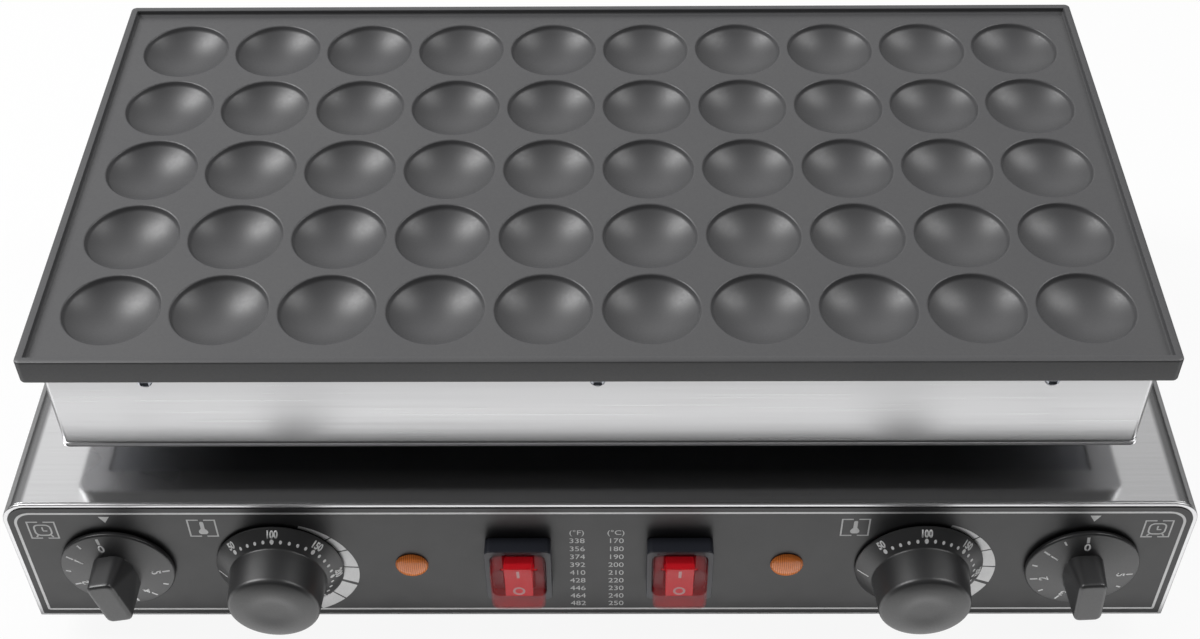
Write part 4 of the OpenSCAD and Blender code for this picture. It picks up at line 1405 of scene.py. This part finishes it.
@dataclass
class PanelPrint:
    """Overlay film and what is printed on it."""

    line_w: float = 1.3
    line_half: float = 278.5
    line_low: float = 23.3
    line_high: float = 101.3
    line_round: Pair = (9.0, 1.2)
    pointer_r: float = 3.0
    pointer_z: float = 96.8
    table_top: float = 85.6
    table_step: float = 6.35
    table_x: tuple[tuple[float, str], ...] = ((-10.6, "F"), (8.2, "C"))
    unit_size: float = 5.0
    figure_size: float = 5.2
    coldest: int = 170
    heat_step: int = 10
    rows: int = 9
    ring_in: float = 30.6
    ring_out: float = 40.4
    ring_sides: int = 240
    blocks: tuple[float, ...] = (23.0, 51.5, 71.7, 93.8, 114.0, 134.2, 156.0)
    half_gap: float = 0.9
    swell: Pairs = (
        (22.0, 2.0), (52.0, 3.4), (72.0, 5.0), (94.0, 7.3), (114.0, 8.9), (134.0, 9.4),
        (158.0, 9.4),
    )
    sign_size: Pair = (13.8, 13.0)
    sign_line: float = 0.75
    sign_break: float = 1.3
    clock_at: Pairs = ((-266.0, 88.2), (266.0, 88.2))
    clock: Triple = (8.6, 2.8, 0.8)
    clock_hands: tuple[tuple[Pair, Pair], ...] = (
        ((0.7, 2.4), (0.0, 1.0)), ((2.2, 0.7), (0.9, -0.6)),
    )
    clock_foot: Pair = (0.8, 1.6)
    foot_at: Pair = (3.6, -4.6)
    foot_angle: float = 35.0
    glass_at: Pairs = ((-189.2, 89.6), (122.2, 89.6))
    glass: Pair = (1.9, 5.4)
    glass_up: float = 2.2
    glass_round: float = 0.9
    bulb: Pairs = ((0.8, 1.7), (1.1, 1.35), (1.2, 1.0), (1.0, 0.6))
    ink_lift: float = 0.03
    ink_t: float = 0.05

    def build(self) -> None:
        """Finishes the film and prints on it."""
        FILM.dress(softened("panel_overlay", 0.12))
        self.lay("panel_border_print", SILVER_INK, [self.border()])
        self.lay("timer_pointer_print", SILVER_INK, self.pointers())
        self.lay("scale_wedge_print", SILVER_INK, self.wedges())
        self.lay("picture_sign_print", DIM_INK, self.signs())
        self.lay("temperature_table_print", DIM_INK, self.table())

    def lay(self, name: str, ink: Finish, parts: list[Piece]) -> None:
        """Lays flat marks, in panel coordinates about the part's middle, on the film.

        Args:
            name: The print's name.
            ink: Its ink.
            parts: Its marks.
        """
        mark = settle(join(parts, name), on_panel() @ shift(z=self.ink_lift))
        thicken(mark, self.ink_t)
        ink.dress(mark)
        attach(mark, BODY)

    def border(self) -> Piece:
        """Line around the panel, with round upper corners.

        Returns:
            The line.
        """
        low, high = self.line_low, self.line_high
        wide, tight = self.line_round
        bench = Bench.plane("border", 2 * self.line_half, high - low).move(y=(high + low) / 2)
        bench.pick(Pick.VERT, lambda c: c.y > high - 1).bevel(wide, 10, "VERTICES")
        bench.pick(Pick.VERT, lambda c: c.y < low + 1).bevel(tight, 3, "VERTICES")
        select_all(Pick.FACE)
        return bench.line(self.line_w)

    def pointers(self) -> list[Piece]:
        """Triangle above each timer.

        Returns:
            The triangles.
        """
        parts = []
        for side in SIDES:
            place = shift(middle(f"timer_shaft_{side}").x, self.pointer_z) @ turn(180)
            parts.append(settle(dot(self.pointer_r, 3), place))
        return parts

    def band_width(self, bearing: float) -> float:
        """Width of the wedge at a clockwise angle from the top.

        Args:
            bearing: The angle in degrees.

        Returns:
            The width.
        """
        for (a, low), (b, high) in zip(self.swell, self.swell[1:]):
            if bearing <= b:
                break
        return low + (high - low) * (bearing - a) / (b - a)

    def wedges(self) -> list[Piece]:
        """Band of blocks that swells clockwise around each temperature knob.

        Returns:
            Both bands, as one piece.
        """
        add, count = bpy.ops.mesh.primitive_circle_add, self.ring_sides
        bench = Bench("wedge", add, vertices=count, radius=self.ring_in * MM)
        bench.extrude().scale(self.ring_out / self.ring_in, self.ring_out / self.ring_in)
        first, *gaps, last = self.blocks

        def bearing(c: Vector) -> float:
            """Clockwise angle from the top, in degrees."""
            return math.degrees(math.atan2(c.x, c.y)) % 360

        def wanted(c: Vector) -> bool:
            """Whether a face of the ring is one of the blocks."""
            at = bearing(c)
            return first < at < last and all(abs(at - gap) > self.half_gap for gap in gaps)

        def outer(c: Vector, at: float) -> bool:
            """Whether a corner is on the outside of the ring, at an angle."""
            return abs(bearing(c) - at) < 0.2 and math.hypot(c.x, c.y) > self.ring_out - 0.1

        bench.pick(Pick.FACE, lambda c: not wanted(c)).drop()
        for at in (k * 360 / count for k in range(count)):
            if first - 2 < at < last + 2:
                share = (self.ring_in + self.band_width(at)) / self.ring_out
                bench.pick(Pick.VERT, lambda c, at=at: outer(c, at)).scale(share, share)
        pattern = bench.done(flat=True)
        spots = [middle(f"thermostat_shaft_{side}") for side in SIDES]
        return [repeat(pattern, [shift(at.x, at.z) for at in spots], "wedges")]

    def sign_box(self) -> Piece:
        """Square outline, broken in the middle above and below.

        Returns:
            The outline.
        """
        bench = Bench.plane("sign", *self.sign_size).steps((self.sign_line, 0.0)).drop()
        for s in BOTH:
            select_all()
            bpy.ops.mesh.bisect(plane_co=(s * self.sign_break * MM, 0, 0), plane_no=(1, 0, 0))
        bench.pick(Pick.FACE, lambda c: abs(c.x) < self.sign_break).drop()
        return bench.done(flat=True)

    def signs(self) -> list[Piece]:
        """A clock sign by each timer and a thermometer sign by each temperature knob.

        Returns:
            The parts of the signs.
        """
        parts = []
        width, corner, line = self.clock
        for place in self.clock_at:
            at = shift(*place)
            dial = Bench.plane("clock", width, width).bevel(corner, 4, "VERTICES")
            select_all(Pick.FACE)
            parts.append(settle(dial.line(line), at))
            parts += [settle(bar(*size), at @ shift(*spot)) for size, spot in self.clock_hands]
            x, y = self.foot_at
            for s in BOTH:
                spot = at @ shift(s * x, y) @ turn(s * self.foot_angle)
                parts.append(settle(bar(*self.clock_foot), spot))
            parts.append(settle(self.sign_box(), at))
        for place in self.glass_at:
            at = shift(*place)
            glass = Bench.plane("thermometer", *self.glass).move(y=self.glass_up)
            glass.pick(Pick.VERT, lambda c: c.y > 4).bevel(self.glass_round, 4, "VERTICES")
            glass.pick(Pick.EDGE, lambda c: c.y < -0.45)
            for drop, wide in self.bulb:
                glass.extrude(y=-drop).scale(wide, 1.0)
            parts.append(settle(glass.done(flat=True), at))
            parts.append(settle(self.sign_box(), at))
        return parts

    def table(self) -> list[Piece]:
        """Table of temperatures in both scales.

        Returns:
            Its figures.
        """
        parts = []
        for x, unit in self.table_x:
            heading = lettering(f"(°{unit})", self.unit_size)
            parts.append(settle(heading, shift(x, self.table_top)))
            for k in range(self.rows):
                heat = self.coldest + self.heat_step * k
                figure = str(heat if unit == "C" else round(heat * 1.8 + 32))
                level = self.table_top - (k + 1) * self.table_step
                parts.append(settle(lettering(figure, self.figure_size), shift(x, level)))
        return parts


def paired(*stems: str) -> tuple[str, ...]:
    """Names of solids that have a left and a right."""
    return tuple(f"{stem}_{side}" for stem in stems for side in SIDES)


# Solids that are shown as they are.
INSIDE: dict[Finish, tuple[str, ...]] = {
    GALVANISED: ("housing_pan", "clamp_bars"),
    MINERAL: ("insulation_board",),
    SHEATH: paired("heating_element"),
    ZINC: (
        "clamp_studs", "clamp_nuts", "post_bolts", "post_nuts", "foot_screws", "foot_nuts",
        "bushing_nuts", *paired("timer_shaft", "thermostat_shaft", "thermostat"),
    ),
    COPPER: paired("sensor"),
    WHITE: (*paired("timer", "lamp_holder"), "terminal_block"),
    SLEEVE: ("wire_looms",),
    NYLON: ("gland_nut",),
}


@dataclass(frozen=True)
class SoftBox:
    """An area light: its place, the point that it faces and its size in metres, and its watts."""

    name: str
    at: Triple
    aim: Triple
    size: Pair
    watts: float

    def hang(self) -> None:
        """Adds the light to the scene."""
        data = bpy.data.lights.new(self.name, "AREA")
        data.shape = "RECTANGLE"
        data.size, data.size_y = self.size
        data.energy = self.watts
        obj = bpy.data.objects.new(self.name, data)
        facing = (Vector(self.aim) - Vector(self.at)).to_track_quat("-Z", "Y")
        obj.matrix_world = Matrix.Translation(self.at) @ facing.to_matrix().to_4x4()
        bpy.context.scene.collection.objects.link(obj)


@dataclass
class Studio:
    """Floor, soft light and the camera of the photograph.

    The sky is given as height and level; front, right and flank as a range of the direction and
    the light that it takes away or adds. Grey tones are for bounced light and for the camera.
    """

    camera_at: Triple = (6.83, -656.76, 737.45)
    pitch: float = 45.1
    yaw: float = -0.599
    roll: float = -0.547
    focal_mm: float = 51.332
    sensor_mm: float = 36.0
    floor_mm: float = 9000.0
    floor_grey: Pair = (0.35, 0.9)
    floor_white: float = 0.92
    sky: Pairs = (
        (0.0, 0.15), (0.15, 0.35), (0.34, 0.9), (0.72, 1.0), (0.86, 0.45), (1.0, 0.25),
    )
    front: tuple[Pair, Pair] = ((-0.3, 0.3), (0.12, 1.0))
    right: tuple[Pair, Pair] = ((-0.35, 0.35), (1.1, 0.68))
    flank: tuple[Pair, Pair] = ((0.33, 0.56), (1.0, 0.28))
    lights: tuple[SoftBox, ...] = (
        SoftBox("soft_box_left", (-1.45, 0.15, 1.58), (0, 0.15, 0.18), (0.8, 1.3), 33.0),
        SoftBox("soft_box_right", (1.45, 0.15, 1.58), (0, 0.15, 0.18), (0.8, 1.3), 16.0),
        SoftBox("front_card", (0, -0.2275, 0.004), (0, -0.2275, 1), (1.0, 0.125), 0.43),
    )

    def camera(self) -> None:
        """Sets the camera where the photograph was taken from."""
        down, side, tilt = (math.radians(a) for a in (self.pitch, self.yaw, self.roll))
        flat = math.cos(down)
        ahead = Vector((math.sin(side) * flat, math.cos(side) * flat, -math.sin(down)))
        level = Vector((math.cos(side), -math.sin(side), 0))
        up = level.cross(ahead)
        across = math.cos(tilt) * level + math.sin(tilt) * up
        rise = math.cos(tilt) * up - math.sin(tilt) * level
        data = bpy.data.cameras.new("camera")
        data.lens = self.focal_mm
        data.sensor_width = self.sensor_mm
        data.sensor_fit = "HORIZONTAL"
        data.clip_start = 0.01
        cam = bpy.data.objects.new("camera", data)
        facing = Matrix((across, rise, -ahead)).transposed().to_4x4()
        cam.matrix_world = shift(*self.camera_at) @ facing
        bpy.context.scene.collection.objects.link(cam)
        bpy.context.scene.camera = cam

    def floor(self) -> None:
        """Lays a pale floor that shows white and keeps a soft shadow."""
        obj = Bench.plane("floor", self.floor_mm, self.floor_mm).done(flat=True)
        material = bpy.data.materials.new("pale_floor")
        material.use_nodes = True
        tree = material.node_tree
        tree.nodes.clear()
        seen = add_node(tree, "ShaderNodeLightPath").outputs["Is Camera Ray"]
        share = remap(tree, seen, (0.0, 1.0), (0.0, self.floor_white))
        tone = blend(tree, seen, *((grey, grey, grey, 1.0) for grey in self.floor_grey))
        matt = add_node(tree, "ShaderNodeBsdfDiffuse", {}, {"Color": tone}).outputs[0]
        white = {"Color": (1, 1, 1, 1), "Strength": 1.0}
        glow = add_node(tree, "ShaderNodeEmission", white).outputs[0]
        mix = add_node(tree, "ShaderNodeMixShader", {}, {0: share, 1: matt, 2: glow}).outputs[0]
        add_node(tree, "ShaderNodeOutputMaterial", {}, {"Surface": mix})
        obj.data.materials.append(material)

    def world(self) -> None:
        """Room light: bright behind, dim low down, at the flanks, overhead and in front."""
        world = bpy.data.worlds.new("studio")
        bpy.context.scene.world = world
        world.use_nodes = True
        tree = world.node_tree
        tree.nodes.clear()
        way = add_node(tree, "ShaderNodeTexCoord").outputs["Generated"]
        parts = add_node(tree, "ShaderNodeSeparateXYZ", {}, {0: way}).outputs
        ramp = add_node(tree, "ShaderNodeValToRGB", {}, {0: parts["Z"]})
        for at, _ in self.sky[1:-1]:
            ramp.color_ramp.elements.new(at)
        for stop, (_, grey) in zip(ramp.color_ramp.elements, self.sky):
            stop.color = (grey, grey, grey, 1.0)
        level = ramp.outputs[0]
        out = work_out(tree, "ABSOLUTE", parts["X"])
        sides = ((parts["Y"], self.front), (parts["X"], self.right), (out, self.flank))
        for value, ranges in sides:
            level = work_out(tree, "MULTIPLY", level, remap(tree, value, *ranges))
        seen = add_node(tree, "ShaderNodeLightPath").outputs["Is Camera Ray"]
        shown = work_out(tree, "MAXIMUM", level, seen)
        glow = add_node(tree, "ShaderNodeBackground", {"Strength": 1.0}, {0: shown}).outputs[0]
        add_node(tree, "ShaderNodeOutputWorld", {}, {"Surface": glow})

    def build(self) -> None:
        """Sets up the studio."""
        bpy.context.scene.view_settings.view_transform = "Standard"
        self.camera()
        self.floor()
        self.world()
        for light in self.lights:
            light.hang()


def dress_inside() -> None:
    """Gives the solids that carry over their finishes."""
    for finish, nodes in INSIDE.items():
        for node in nodes:
            finish.dress(frame["nodes"][node])


def main() -> None:
    """Builds the grill's pieces in order."""
    logging.basicConfig(level=logging.INFO, format="%(name)s: %(message)s")
    Studio().build()
    pieces = (
        BakingPlate(), HeatingBox(), Base(), PanelPrint(), TimerKnob(), TemperatureKnob(),
        RockerSwitch(), SignalLamp(),
    )
    for piece in pieces:
        piece.build()
        LOG.info("built %s", type(piece).__name__)
    dress_inside()
    clear_selection()


if __name__ == "__main__":
    main()
